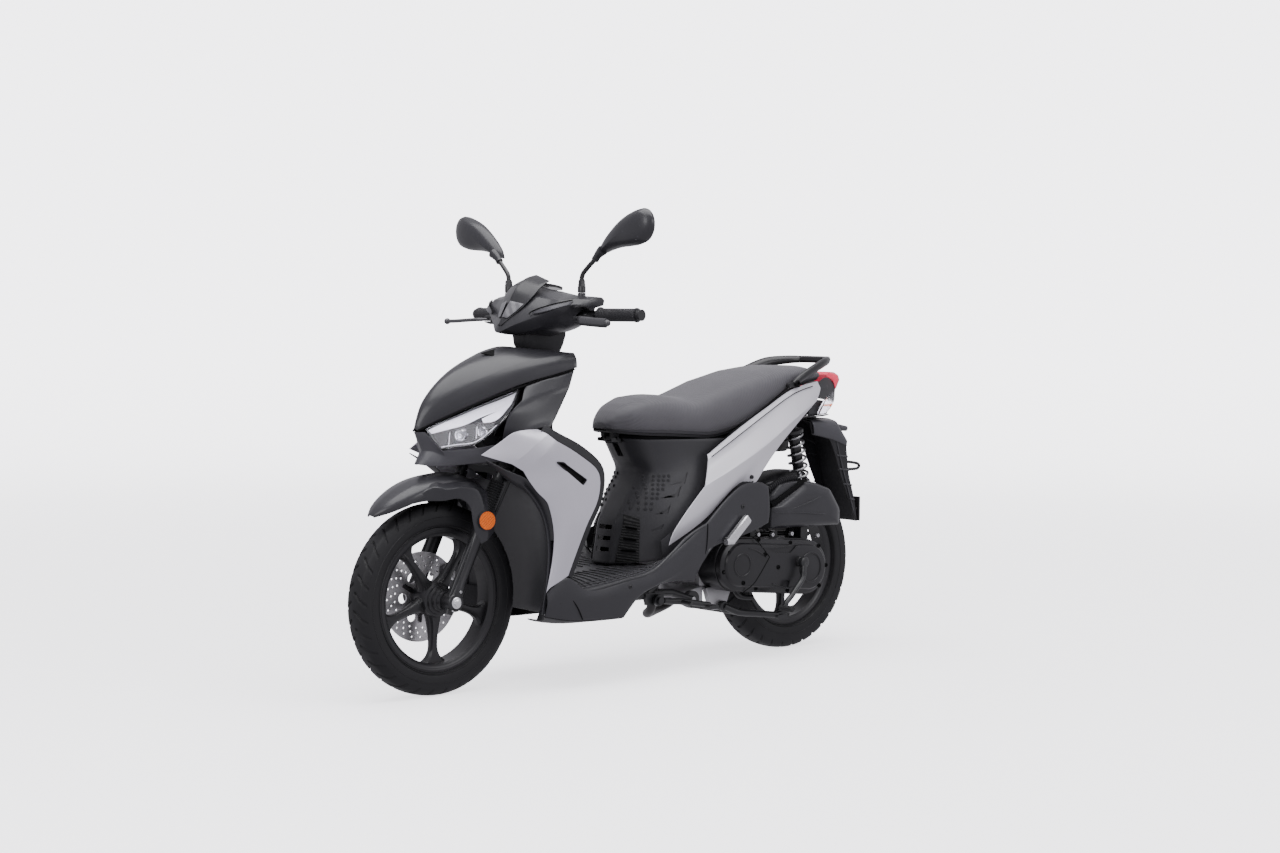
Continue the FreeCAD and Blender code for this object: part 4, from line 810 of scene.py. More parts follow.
def lower_covers():
    rows = [
        [(466, 198, 266), (405, 207, 304), (334, 204, 266), (200, 202, 278), (110, 201, 292), (22, 196, 338),
         (-124, 184, 418), (-250, 178, 507), (-330, 177, 518), (-372, 174, 504)],
        [(467, 203, 237), (410, 209, 250), (320, 209, 236), (200, 207, 241), (110, 206, 262), (10, 202, 290),
         (-110, 192, 350), (-240, 184, 420), (-320, 180, 440), (-376, 177, 440)],
        [(470, 196, 206), (392, 200, 190), (300, 200, 182), (200, 200, 180), (150, 200, 232), (64, 198, 260),
         (-66, 194, 258), (-118, 188, 335), (-300, 180, 378), (-372, 176, 400)],
    ]
    belly = [
        [(470, 192, 204), (392, 196, 188), (300, 196, 180), (200, 196, 178)],
        [(440, 150, 188), (392, 150, 176), (300, 150, 172), (200, 150, 172)],
        [(420, 62, 180), (392, 62, 172), (300, 62, 170), (200, 62, 170)],
    ]
    peg_hole = lathe([(150, 13), (230, 13)], (PEG_HINGE[0], 0, PEG_HINGE[1]), (0, 1, 0), 32)
    side_panels("sill", rows, "graphite", "chassis", (0, 1, 0), ("lower_cover",), 6, (), (3, 4, 6), 3.0, 0.9,
                (peg_hole,))
    side_panels("belly", belly, "grained", "chassis", (0, 0, -1), (), 4, (), (), 3.0, 0.8)
    skirt = sheet((1, 0, 0), [
        [(468, 192, 258), (436, 154, 250), (404, 115, 246)],
        [(470, 192, 204), (441, 151, 188), (428, 110, 184)],
    ], 4)
    piece("arch_skirt", [both(skirt)], "grained", "chassis", (), 2.0, 0.0)
    seam = tube([(398, 205.5, 256), (372, 209, 226), (346, 202, 188)], 1.3, 8, 5)
    rear_seam = tube([(-122, 186, 412), (-112, 193, 350), (-104, 190, 318)], 1.2, 8, 5)
    piece("sill_seams", [both(seam), both(rear_seam)], "shadow", "chassis")
    heads = [bolt(p, (0, 1, 0), 6, 3) for p in ((424, 204, 240), (182, 204.5, 262), (-262, 181.5, 452))]
    piece("sill_bolts", [both(merged(heads))], "black_alloy", "chassis")


def centre_cover():
    """The cover under the seat's nose: slots, a patch of small hexagons and four arrow recesses a side."""
    left = [
        [(-30, 150, 318), (54, 100, 309), (108, 37, 304), (112, 0, 304)],
        [(-52, 148, 370), (42, 100, 365), (98, 36, 363), (101, 0, 363)],
        [(-70, 146, 422), (30, 100, 422), (86, 35, 422), (88, 0, 422)],
        [(-128, 145, 480), (10, 96, 486), (44, 33, 490), (46, 0, 490)],
        [(-200, 142, 550), (-20, 88, 550), (5, 30, 550), (6, 0, 550)],
        [(-250, 140, 596), (-8, 86, 592), (36, 34, 596), (40, 0, 598)],
        [(-300, 138, 644), (20, 88, 645), (64, 40, 648), (70, 0, 648)],
    ]
    fine = refined(left, 6, (), (2,))
    holes = [block(-40, 110, -12, 12, 596, 660)]
    for step in range(3):
        base = 340 + 30 * step
        holes.append(plate([(62, base), (130, base - 8), (130, base + 4), (62, base + 12)], -26, 26))
    arrows = [((-49, 516), (-105, 553)), ((-13, 478), (-80, 517)), ((7, 438), (-38, 462)),
              ((22, 397), (-13, 414))]
    for (ax, az), (bx, bz) in arrows:
        cx = ax + 0.75 * (bx - ax)
        cz = az + 0.14 * (bz - az)
        cut = sunk(fine, [(ax, az), (cx, cz), (bx, bz), (cx + 8, cz + 7), (ax, az + 2.4)], 2.6)
        if cut:
            holes += [cut, mirrored(cut)]
    panel("centre", whole(left), "satin", "chassis", (1, 0, 0.1), ["centre_cover"], 6, (), (2, 4), 3.0,
          0.9, holes)
    dots = []
    for row in range(8):
        for column in range(6):
            x = 78 - 12.5 * column - 10 * row + (6.2 if row % 2 else 0)
            z = 452 + 13 * row
            at = side_point(fine, x, z)
            if at and at.y > 38 and at.y < 108:
                dots.append(lathe([(-1.5, 5.2), (0.9, 5.2), (1.5, 4.2), (1.5, 0)], at, (0.55, 0.83, 0.1), 6))
    piece("centre_hexagons", [both(merged(dots))], "grained", "chassis", (), 0, 0.0, 20)
    frame_rows = []
    for row in range(9):
        t = row / 8
        ends = [side_point(fine, x, z) for x, z in ((44 + 12 * t, 430 - 112 * t),
                                                    (70 + 30 * t, 438 - 116 * t))]
        frame_rows.append([ends[0].lerp(ends[1], k / 6) + Vector((1.8, 2.7, 0)) for k in range(7)])
    shade = facing(grid(frame_rows), (0.5, 0.8, 0))
    piece("slot_frame", [both(shade)], "mesh_grille", "chassis", (), 3.0, 0.6)
    # Flat dark strips of painted shade stand for the open slots in the frame.
    shade_strips = []
    for row in (2, 4, 6):
        line = [p + Vector((0.8, 1.2, 0)) for p in frame_rows[row][1:6]]
        shade_strips.append(tube(line, [4.4, 5.2, 5.2, 5.2, 4.4], 8, 2, flat=0.4))
    piece("slot_shade_strips", [both(merged(shade_strips))], "shadow", "chassis")
    # A sheet of painted shade behind the cover's slots.
    inner = [[(-20, 120, 330), (52, 70, 330), (82, 22, 330), (84, 0, 330)],
             [(-60, 120, 420), (20, 70, 420), (58, 22, 420), (60, 0, 420)]]
    panel("slot_shade_sheet", whole(inner), "shadow", "chassis", (1, 0, 0), (), 3, (), (), 2.0, 0.0)
    # Painted shade: a dark band that fills the gap between the cover's top and the seat pan.
    low = [(66, 32, 640), (18, 80, 638), (-70, 97, 638), (-160, 112, 638), (-285, 130, 640)]
    high = [(66, 32, 657), (18, 80, 654.5), (-70, 97, 651.5), (-160, 112, 646), (-285, 130, 652)]
    for name, side in (("seat_gap_shade", 1), ("seat_gap_shade_right", -1)):
        rows = [[(x, side * y, z) for x, y, z in row] for row in (low, high)]
        panel(name, rows, "shadow", "chassis", (0, side, 0), per=4, thick=2.0, bevel=0.0)


def sunk(rows, outline, depth):
    """A cutter that goes a little way into the surface behind an (x, z) outline."""
    points = [side_point(rows, x, z) for x, z in outline]
    if None in points:
        return None
    out = Vector((0.5, 0.85, 0.05)).normalized()
    return rings([[p - out * depth for p in points], [p + out * 30 for p in points]])


def side_point(rows, x, z):
    """The point of the half surface at that x and z, or nothing if it lies outside."""
    for low, high in zip(rows, rows[1:]):
        if low[0].z <= z < high[0].z:
            t = (z - low[0].z) / (high[0].z - low[0].z)
            line = [a.lerp(b, t) for a, b in zip(low, high)]
            for a, b in zip(line, line[1:]):
                if a.x <= x <= b.x:
                    return a.lerp(b, (x - a.x) / max(b.x - a.x, 1e-6))
    return None


# ---- rear bodywork ------------------------------------------------------------------------------------
def side_covers():
    rows = [
        [(-150, 152, 603), (-272, 153, 673), (-392, 146, 730), (-500, 134, 776), (-632, 116, 799)],
        [(-146, 160, 588), (-268, 161, 654), (-390, 153, 714), (-500, 141, 762), (-636, 119, 788)],
        [(-138, 165, 560), (-260, 165, 625), (-385, 158, 690), (-500, 146, 742), (-640, 121, 776)],
        [(-118, 178, 516), (-238, 182, 568), (-370, 176, 628), (-490, 162, 692), (-622, 124, 742)],
        [(-15, 170, 403), (-190, 172, 496), (-300, 167, 552), (-383, 158, 584), (-500, 142, 660)],
        [(0, 160, 357), (-139, 160, 424), (-270, 156, 514), (-338, 154, 514), (-383, 150, 572)],
    ]
    hole = lathe([(150, 6.5), (190, 6.5)], (-318, 0, 532), (0, 1, 0), 24)
    # The flank's paler silver is painted highlight: the same silver as the leg panels, lightened for the top
    # light.
    side_panels("flank", rows, "pale_silver_and_painted_lit", "chassis", (0, 1, 0), ("side_panel",), 6, (1, 3), (), 3.0, 0.9,
                (hole,), 12)
    strip = [(-158, 161.5, 596), (-268, 162.5, 655), (-390, 154.5, 715), (-500, 142.5, 763), (-600, 127, 785)]
    piece("flank_seam", [both(tube(strip, 1.3, 8, 5))], "shadow", "chassis")
    screw = bolt((-318, 161, 532), (0, 1, 0), 5.5, 3)
    piece("flank_screws", [both(screw)], "black_alloy", "chassis")
    gap = both(tube([(-151, 153, 606), (-272, 153, 676), (-392, 146, 733), (-500, 134, 779),
                     (-560, 126, 792)],
                    2.0, 8, 6))
    piece("flank_gasket", [gap], "shadow", "chassis")


def tail():
    top = [
        [(-640, 113, 772), (-640, 100, 786), (-640, 40, 788), (-640, 0, 789)],
        [(-668, 106, 774), (-668, 96, 789), (-668, 40, 793), (-668, 0, 794)],
        [(-697, 98, 776), (-697, 90, 792), (-697, 40, 797), (-697, 0, 798)],
    ]
    under = [
        [(-620, 98, 692), (-620, 60, 686), (-620, 0, 684)],
        [(-680, 86, 694), (-676, 50, 688), (-676, 0, 686)],
        [(-730, 72, 696), (-726, 50, 690), (-726, 0, 688)],
    ]
    side = [
        [(-642, 104, 790), (-694, 91, 809), (-738, 77, 797)],
        [(-642, 112, 772), (-696, 96, 780), (-748, 80, 782)],
        [(-638, 113, 760), (-692, 97, 760), (-745, 81, 758)],
        [(-634, 112, 748), (-690, 95, 742), (-740, 79, 734)],
    ]
    roof = sheet((0, 0, 1), whole(top), 4)
    base = sheet((0, 0, -1), whole(under), 4)
    flank = sheet((0, 1, 0), side, 4)
    fill = sheet((0, 1, 0), [[(-622, 110, 745), (-664, 102, 742), (-738, 78, 734)],
                             [(-620, 98, 694), (-680, 86, 696), (-730, 72, 698)]], 4)
    piece("tail_shell", [roof, base, both(flank), both(shifted(fill, 0, -8, 0))], "satin",
          "chassis", ["tail_cover"], 3.0, 0.8)
    stations = [(-84, -702, -758, 0), (-72, -735, -775, 1), (-40, -770, -806, 3), (0, -778, -838, 4)]
    loops = []
    for y, front, rear, drop in stations + [(-y, *rest) for y, *rest in reversed(stations[:-1])]:
        loops.append([Vector(p) for p in ((front, y, 813), (rear + 24, y, 800 - drop),
                                          (rear + 15, y, 774 - drop), (rear, y, 800), (rear + 6, y, 814),
                                          (front - 10, y, 823))])
    piece("tail_lens", [lofted(loops, 4)], "red", "chassis", ["tail_light"], 0, 1.2)
    clear = sheet((0, 1, 0), [
        [(-656, 102, 702), (-682, 95, 700), (-712, 84, 706)],
        [(-668, 105, 726), (-704, 95, 730), (-741, 82, 736)],
        [(-702, 94, 752), (-722, 89, 762), (-747, 79, 772)],
    ], 4)
    piece("rear_indicators", [both(clear)], "lens", "chassis", (), 3.5, 0.6)
    piece("rear_indicator_backs", [both(shifted(clear, 3, -5, 0))], "lamp_white", "chassis",
          (), 1.0)
    bulbs = both(tube([(-676, 94, 727), (-704, 86, 726), (-732, 77, 726)], 4.0, 12, 4))
    piece("rear_indicator_bulbs", [bulbs], "amber", "chassis")


def grab_rail():
    path = [(-515, 131, 792), (-535, 132, 806), (-570, 130, 822), (-650, 115, 850), (-706, 84, 858),
            (-732, 46, 860), (-738, 0, 860)]
    half = tube(path, [11, 14, 16, 16, 13.5, 11, 11], 18, 6, flat=0.7)
    foot = plate([(-537, 783), (-490, 783), (-492, 796), (-530, 802)], 124, 137, 5)
    bridge = block(-752, -722, -44, 44, 857.5, 866.5)
    piece("carrier_rail", [both(half), both(foot), bridge], "black_alloy", "chassis", ["grab_rail"])
    marks = [lathe([(0, 3.2), (0.6, 3.2), (0.6, 0)], (-737, y, 866.4), (0, 0, 1), 20) for y in (-30, 30)]
    piece("rail_hole_shade", marks, "shadow", "chassis")
    knobs = both(bolt((-522, 138, 794), (0.1, 1, 0.1), 10, 7))
    piece("rail_bolts", [knobs], "shadow", "chassis")


def mudguard():
    left = [
        [(-660, 64, 676), (-660, 30, 682), (-660, 0, 684)],
        [(-770, 66, 664), (-775, 34, 676), (-778, 0, 678)],
        [(-812, 66, 612), (-820, 34, 616), (-822, 0, 618)],
        [(-832, 62, 520), (-840, 34, 520), (-842, 0, 520)],
        [(-862, 58, 440), (-870, 34, 440), (-872, 0, 440)],
        [(-882, 54, 366), (-890, 34, 366), (-892, 0, 366)],
    ]
    skin = sheet((-1, 0, 0.3), whole(left), 5, (), (1, 3))
    flange = sheet((0, 1, 0), [
        [(-660, 64, 676), (-770, 66, 664), (-812, 66, 612), (-832, 62, 520), (-862, 58, 440),
         (-880, 54, 372)],
        [(-668, 62, 640), (-730, 64, 634), (-762, 64, 590), (-796, 61, 516), (-834, 58, 444),
         (-864, 54, 390)],
    ], 5)
    piece("guard_skin", [skin, both(flange)], "grained", "chassis", ["rear_mudguard"], 2.6, 0.8)
    hood = sheet((-0.2, 1, 0.6), [
        [(-672, 68, 638), (-750, 69, 622), (-816, 68, 600)],
        [(-662, 67, 678), (-772, 69, 668), (-818, 67, 616)],
        [(-662, 31, 686), (-778, 34, 681), (-827, 34, 620)],
        [(-662, 0, 688), (-781, 0, 683), (-829, 0, 622)],
    ], 5, (), (1,))
    lug = tube([(-800, 40, 655), (-842, 40, 650)], [11, 8], 14, 3)
    # The hood's paler graphite is a painted highlight on the mudguard's top.
    piece("guard_hood", [both(hood), lug], "graphite_painted_lit", "chassis", (), 2.0, 0.8)
    ribs = [tube([(-668, 63.5, 640), (-752, 65, 622), (-818, 64.5, 600)], 3, 8, 4),
            tube([(-776, 63.5, 572), (-824, 64, 566)], 3, 8, 2),
            tube([(-790, 62.5, 530), (-832, 63, 524)], 3, 8, 2),
            tube([(-812, 61, 484), (-848, 60.5, 478)], 3, 8, 2),
            tube([(-840, 59, 438), (-862, 59, 432)], 3, 8, 2),
            tube([(-760, 65, 664), (-792, 65, 560), (-830, 61.5, 470), (-860, 58, 400)], 2.4, 8, 4)]
    piece("guard_ribs", [both(merged(ribs))], "floor_mat", "chassis")
    carrier = plate([(-900, 366), (-893, 366), (-893, 440), (-900, 440)], -50, 50, 2)
    stay = block(-894, -868, -20, 20, 426, 438)
    cheek = plate([(-897, 372), (-872, 376), (-858, 420), (-864, 442), (-897, 438)], 46, 50, 6)
    loop = tube([(-838, 16, 550), (-912, 16, 541), (-927, 16, 536), (-929, 16, 529), (-918, 16, 523),
                 (-838, 16, 524)], 4.5, 12, 5)
    holes = [lathe([(-40, 3), (20, 3)], (-893, y, 403), (-1, 0, 0), 20) for y in (-40, 40)]
    piece("plate_carrier", [carrier, stay, both(cheek)], "black_alloy", "chassis", (), 0, 0.8, holes=holes)
    piece("guard_loop", [loop], "paint", "chassis")


# ---- steering -----------------------------------------------------------------------------------------
SWEEP = math.radians(8.0)
GRIP_ALONG = Vector((-math.sin(SWEEP), math.cos(SWEEP), 0))


def bar_point(y):
    return Vector((300, 180, 988)) + GRIP_ALONG * ((y - 180) / GRIP_ALONG.y)


HEADSET = {
    0: [(446, 934), (480, 939), (414, 1048), (346, 1068), (282, 1056), (262, 1000), (266, 940), (330, 926)],
    45: [(424, 940), (457, 960), (402, 1037), (346, 1055), (280, 1048), (262, 1000), (266, 944), (330, 930)],
    105: [(388, 962), (421, 985), (384, 1028), (338, 1041), (280, 1039), (264, 1010), (268, 962), (330, 952)],
    146: [(372, 992), (399, 1001), (374, 1026), (334, 1039), (284, 1037), (266, 1018), (268, 994),
          (330, 990)],
    172: [(350, 1008), (368, 1012), (350, 1029), (322, 1037), (288, 1036), (274, 1026), (278, 1013),
          (314, 1008)],
    205: [(330, 1006), (340, 1011), (330, 1026), (312, 1034), (288, 1034), (280, 1026), (284, 1012),
          (308, 1006)],
}


def headset():
    """The handlebar shell with its faceted wings, and a neck that hides the stem."""
    ys = [-y for y in sorted(HEADSET, reverse=True) if y] + sorted(HEADSET)
    loops = [[Vector((x, y, z)) for x, z in HEADSET[abs(y)]] for y in ys]
    shell = lofted(loops, 5)
    openings = [lathe([(0, 40.6), (25, 40.6)], (306, 0, 1052), DIAL_AXIS, 48)]
    for side in (1, -1):
        a, b = bar_point(130), bar_point(240)
        a, b = Vector((a.x, side * a.y, a.z)), Vector((b.x, side * b.y, b.z))
        openings.append(lathe([(0, 19), ((b - a).length, 19)], a, b - a, 40))
    piece("headset_shell", [shell], "graphite", "steering", ["headset_cover"], 0, 3.0, 24, openings)
    boss = lathe([(-12, 10.5), (14, 10.5), (15.7, 9.4), (15.7, 0)], (317, 154, 1030), (0, 0, 1), 32)
    piece("mirror_bosses", [both(boss)], "graphite", "steering")
    neck_loops = []
    for dz, front, rear, half in ((884, 386, 290, 40), (906, 401, 284, 48), (932, 405, 276, 50),
                                  (950, 404, 274, 48)):
        corners = [(front, half * 0.7), (front, -half * 0.7), (rear, -half), (rear, half)]
        neck_loops.append([(x, y, dz) for x, y in rounded(corners, 16, 5)])
    piece("headset_neck", [rings(neck_loops)], "grained", "steering", (), 0, 1.0)
    leaf = sheet((1, 0.3, 0), [
        [(427, 84, 996), (412, 116, 1007), (392, 144, 1016), (362, 170, 1024)],
        [(429, 86, 990), (420, 116, 994), (402, 144, 1003), (370, 170, 1014)],
    ], 4)
    # The leaf's paler graphite is a painted highlight.
    piece("headset_leaf", [both(leaf)], "graphite_painted_lit", "steering", (), 2.0, 0.6)
    gap = tube([(434, 78, 988), (427.5, 86, 997), (411, 117, 1009), (391, 145, 1018), (361, 170, 1026)],
               1.5, 8, 5)
    piece("headset_crease", [both(gap)], "shadow", "steering")


def instruments():
    glass = lathe([(0, 40), (3, 40), (4.5, 38), (5, 0)], DIAL_CENTRE, DIAL_AXIS, 64)
    piece("dial_glass", [glass], "dial", "steering", ["instrument_cluster"])
    ring = lathe([(0, 40.3), (6, 40.3), (7, 38.5), (5, 36.8), (0, 36.8)], DIAL_CENTRE, DIAL_AXIS, 64, True)
    piece("dial_ring", [ring], "black_alloy", "steering")
    marks = []
    for k in range(21):
        angle = math.radians(-120 + 12 * k)
        way = DIAL_ACROSS * math.cos(angle) + SIDEWAYS * math.sin(angle)
        inner, outer = (27 if k % 2 else 24), 33
        base = DIAL_CENTRE + DIAL_AXIS * 5.1
        marks.append(tube([base + way * inner, base + way * outer], 0.7, 6, 1))
    hub = DIAL_CENTRE + DIAL_AXIS * 5.4
    pointing = (DIAL_ACROSS * 0.4 + SIDEWAYS * 0.9).normalized()
    needle = tube([hub - DIAL_ACROSS * 4, hub + pointing * 26], [1.6, 0.6], 8, 1)
    piece("dial_marks", marks + [needle], "pale_silver_and_painted_lit", "steering")
    rows = [
        [(472, 7, 958), (473, 0, 961)],
        [(450, 28, 984), (457, 0, 990)],
        [(427, 48, 1010), (438, 0, 1021)],
        [(404, 60, 1038), (417, 0, 1055)],
        [(382, 63, 1060), (386, 0, 1082)],
        [(350, 60, 1078), (344, 0, 1094)],
    ]
    panel("screen_visor", whole(rows), "screen", "steering", (0.3, 0, 1), (), 6, (), (1,), 3.0, 1.0)
    patch = sheet((0.5, 0.3, 0.6), [
        [(458, 18, 976), (463, 3, 980)],
        [(442, 34, 994), (453, 4, 998)],
        [(424, 46, 1014), (438, 6, 1022)],
    ], 4)
    piece("screen_patches", [both(shifted(patch, 2.2, 0.8, 1.6))], "screen_patch", "steering",
          (), 1.2, 0.3)


def switches():
    for side, suffix in ((1, "left"), (-1, "right")):
        a, b = bar_point(177), bar_point(201)
        collar = lathe([(0, 20), (2, 22), (22, 22), (24.3, 20), (24.3, 11.2), (0, 11.2)], a, b - a, 40, True)
        body = prism([(278, 962), (320, 960), (320, 1000), (284, 1002)], 8, (176, 202))
        perch = prism([(316, 960), (344, 960), (364, 966), (362, 984), (318, 986)], 5, (174, 203))
        toggle = prism([(272, 984), (282, 982), (282, 994), (274, 996)], 3, (182, 196))
        tank = bolt((340, 196, 986), (0, 0, 1), 4.5, 4)
        if side < 0:
            tank = prism([(330, 986), (358, 984), (358, 1000), (332, 1002)], 4, (176, 200))
        parts = merged([collar, body, perch, toggle, tank])
        slit = block(338, 400, 140, 240, 968, 978)
        cuts = [slit, lathe([(0, 4.1), (60, 4.1)], (350, 187, 940), (0, 0, 1), 20),
                lathe([(0, 5.1), (30, 5.1)], (286, 189, 970), (-1, 0, 0), 20),
                lathe([(0, 11.2), (60, 11.2)], bar_point(165), b - a, 32)]
        piece("switches_" + suffix, [on_side(parts, side)], "grained", "steering", ["switchgear_" + suffix],
              holes=[on_side(cut, side) for cut in cuts])


def grips():
    for side, name, node, body in ((1, "left_hold", "grip_left", "steering"),
                                   (-1, "right_hold", "throttle_grip", "throttle")):
        start = bar_point(205)
        length = 127 / GRIP_ALONG.y
        profile = [(0, 11.2), (0, 20.5), (2, 21), (5, 20), (6, 17)]
        along = 8.0
        while along < length - 10:
            profile += [(along, 16.4), (along + 1.4, 17.4), (along + 3.6, 17.4)]
            along += 5.0
        profile += [(length - 6, 17), (length - 4, 19), (length - 0.6, 19), (length, 17.5), (length, 11.2)]
        shape = lathe(profile, start, GRIP_ALONG, 40, True)
        weight = lathe([(0, 10.6), (0, 14), (2, 15), (12, 15), (14, 12.5), (14, 0)], bar_point(333),
                       GRIP_ALONG, 32)
        piece(name, [on_side(shape, side)], "grip_rubber", body, [node])
        piece(name + "_weight", [on_side(weight, side)], "black_alloy", "steering")


def levers():
    for side, suffix, body in ((1, "left", "lever_left"), (-1, "right", "lever_right")):
        blade = rings(lever_loops(12.0 if side > 0 else 5.0))
        eye = lathe([(0, 8.4), (1, 9), (7, 9), (8, 8.4)], (350, 187, 969), (0, 0, 1), 28)
        pin = lathe([(0, 4), (24, 4)], (350, 187, 961), (0, 0, 1), 20)
        ball = lathe([(-9, 0), (-7.5, 5), (-4, 8), (0, 9), (4, 8), (7.5, 5), (9, 0)], (388, 338, 967),
                     (0, 0, 1), 24)
        parts = merged([blade, eye, pin, ball])
        piece("lever_blade_" + suffix, [on_side(parts, side)], "lever_metal", body,
              ["brake_lever_" + suffix], 0, 0, 40)


def lever_loops(depth):
    """Sections of the brake lever, from its pivot out to the ball."""
    line = spline([Vector(p) for p in ((354, 190, 973), (370, 206, 973), (381, 226, 972), (384, 262, 970),
                                       (386, 300, 968), (388, 334, 967))], 5)
    loops = []
    for k, at in enumerate(line):
        deep = 6.5 if k < 12 else 6.0
        high = 4.3 if k < 5 else depth
        loops.append([at + Vector((deep * math.cos(a), 0, high * math.sin(a)))
                      for a in [2 * math.pi * i / 12 for i in range(12)]])
    return loops


def mirrors():
    outline = [(202, 1141), (240, 1153), (284, 1162), (324, 1165), (360, 1169), (392, 1181), (409, 1204),
               (410, 1234), (396, 1255), (374, 1262), (330, 1251), (288, 1231), (240, 1194), (210, 1162)]
    centre = Vector((0, 322, 1206))

    def loop(x, share, pull=0.0):
        points = [Vector((x, centre.y + (y - centre.y) * share - pull * 8, centre.z + (z - centre.z) * share))
                  for y, z in outline]
        return spline(points, 4, (0,), True)

    for side, suffix, body in ((1, "left", "mirror_l"), (-1, "right", "mirror_r")):
        shell = rings([loop(291.5, 0.93), loop(290, 0.965), loop(293, 0.99), loop(299, 1.0), loop(308, 0.95),
                       loop(316, 0.82), loop(322, 0.62), loop(325.4, 0.34), loop(326, 0.1)])
        boot = tube([(312, 230, 1156), (312, 215, 1146), (312, 202, 1133)], [14, 11, 8.6], 20, 4)
        collar = tube([(312, 205, 1136), (312, 201, 1132)], [10, 10], 20, 1)
        stem = tube([(317, 154, 1076), (317, 155, 1088), (316, 162, 1100), (312, 204, 1135)], 6.2, 16, 6)
        base = lathe([(0, 9.5), (2, 10.8), (22, 10.8), (24, 9.8), (31, 9.8), (35, 7.5), (35, 0)],
                     (317, 154, 1046), (0, 0, 1), 6)
        sleeve = lathe([(0, 10.8), (14, 10.8), (16, 9.8)], (317, 154, 1047), (0, 0, 1), 28)
        parts = [shell, boot, collar]
        arms = [stem, base, sleeve]
        glass = [rings([loop(290.6, 0.925), loop(290.2, 0.9), loop(289.9, 0.3)])]
        for name, group, look, nodes, angle in (
                ("mirror_shell_", parts, "graphite", ["mirror_" + suffix], 40),
                ("mirror_arm_", arms, "paint", (), 34), ("mirror_glass_", glass, "mirror_glass", (), 30)):
            piece(name + suffix, [on_side(shape, side) for shape in group], look, body, nodes, angle=angle)


# ---- front end ----------------------------------------------------------------------------------------
def fork_point(along, y=0.0):
    return Vector((FRONT_AXLE[0], y, FRONT_AXLE[1])) + STEER_UP * along


def fork():
    parts = []
    for side in (1, -1):
        y = side * FORK_LEG_Y
        leg = lathe([(-14, 17), (0, 20), (40, 20), (52, 17.5), (180, 17.5), (196, 19.5), (246, 20), (251, 18),
                     (251, 14.3)], fork_point(0, y), STEER_UP, 36)
        foot = wheel_lathe([(side * 66, 22), (side * 69, 24), (side * 99, 24), (side * 102, 21.5),
                            (side * 102, 0)],
                           FRONT_AXLE, 40, False)
        stations = ((6, 17, 7, 8), (60, 16, 7, 7), (150, 15, 7, 6), (190, 13, 5, 6))
        ridge = tube([fork_point(s, y) + Vector((ahead, side * out, up)) for s, ahead, out, up in stations],
                     [5.0, 5.6, 4.6, 2.0], 10, 5)
        clamp = tube([fork_point(-14, y), fork_point(-34, y)], [15, 12], 24, 2)
        parts += [leg, foot, ridge, clamp]
    axle = wheel_lathe([(-104, 7.5), (104, 7.5)], FRONT_AXLE, 24, False)
    nut = wheel_lathe([(101, 14), (104, 14), (104, 10.5), (110, 10.5), (111, 8), (111, 0)], FRONT_AXLE, 6,
                      False)
    washer = wheel_lathe([(100, 15), (103.5, 15), (104.5, 13), (104.5, 0)], FRONT_AXLE, 32, False)
    left_clamp = [bolt(fork_point(-20, 98), (0, 1, 0), 5, 4), bolt(fork_point(30, 101), (0, 1, 0), 4.5, 3)]
    piece("fork_legs", parts, "black_alloy", "fork_lower", ["fork_sliders"], 0, 0, 38)
    piece("front_axle", [axle, nut, washer] + left_clamp, "bright", "fork_lower")
    gaiters = []
    for side in (1, -1):
        low = 252
        profile = [(low, 15)]
        for k in range(12):
            profile += [(low + 4 + 7 * k, 20.5), (low + 7.5 + 7 * k, 16)]
        gaiters.append(lathe(profile + [(low + 92, 16), (low + 92, 14.2)], fork_point(0, side * FORK_LEG_Y),
                             STEER_UP, 32))
    piece("fork_boots", gaiters, "rubber", "fork_lower")


def fender():
    """One moulding: the arch over the tyre and, each side, the flank that runs down to the reflector."""
    crown = [(520, 508), (556, 545), (600, 568), (645, 578), (690, 576), (735, 569), (776, 556), (820, 534),
             (860, 505), (884, 478)]
    rows = []
    for place, narrow in zip(crown, (1.0, 1.0, 1.0, 1.0, 1.0, 1.0, 1.0, 0.9, 0.62, 0.2)):
        at = Vector(place)
        inward = (Vector(FRONT_AXLE) - at).normalized()
        row = []
        for across, drop in ((1.0, 40), (0.93, 20), (0.62, 6), (0.3, 2), (0.0, 0)):
            edge = at + inward * drop * narrow
            row.append((edge.x, 64 * narrow * across, edge.y))
        rows.append(row)
    arch = sheet((0.5, 0, 1), whole(rows), 4, (), (2, 6))
    flank = [
        [(790, 58, 506), (772, 60, 528), (752, 52, 546)],
        [(752, 64, 511), (735, 72, 546), (716, 58, 558)],
        [(706, 72, 510), (700, 82, 540), (692, 60, 554)],
        [(662, 84, 514), (655, 90, 544), (650, 64, 557)],
        [(636, 92, 494), (612, 96, 534), (600, 70, 550)],
        [(630, 98, 452), (598, 104, 486), (566, 90, 518)],
        [(622, 100, 424), (592, 106, 452), (558, 98, 482)],
        [(606, 101, 396), (588, 105, 404), (562, 99, 424)],
    ]
    wings = sheet((0, 1, 0.3), flank, 5, (), (1,))
    piece("fender_skin", [arch, wings, mirrored(wings)], "graphite", "fork_lower", ["front_fender"], 2.6,
          0.9, 26)
    disc = lathe([(0, 24), (5.6, 24), (6.8, 22.6), (6.8, 0)], (592, 104.4, 456), (0.12, 0.99, 0.03), 48)
    ring = lathe([(0, 25.4), (6, 25.4), (7, 24.4), (6, 23.6), (0, 23.6)], (592, 104.2, 456),
                 (0.12, 0.99, 0.03), 48,
                 True)
    piece("side_reflectors", [both(disc)], "amber", "fork_lower")
    piece("reflector_rims", [both(ring)], "grained", "fork_lower")


TREAD_STEPS = 900
PLAIN_BAND = 0.14
GROOVE_DEPTH = 4.5
GROOVE_HALF_WIDTH = 4.4
GROOVE_PITCH_RADIUS = 250


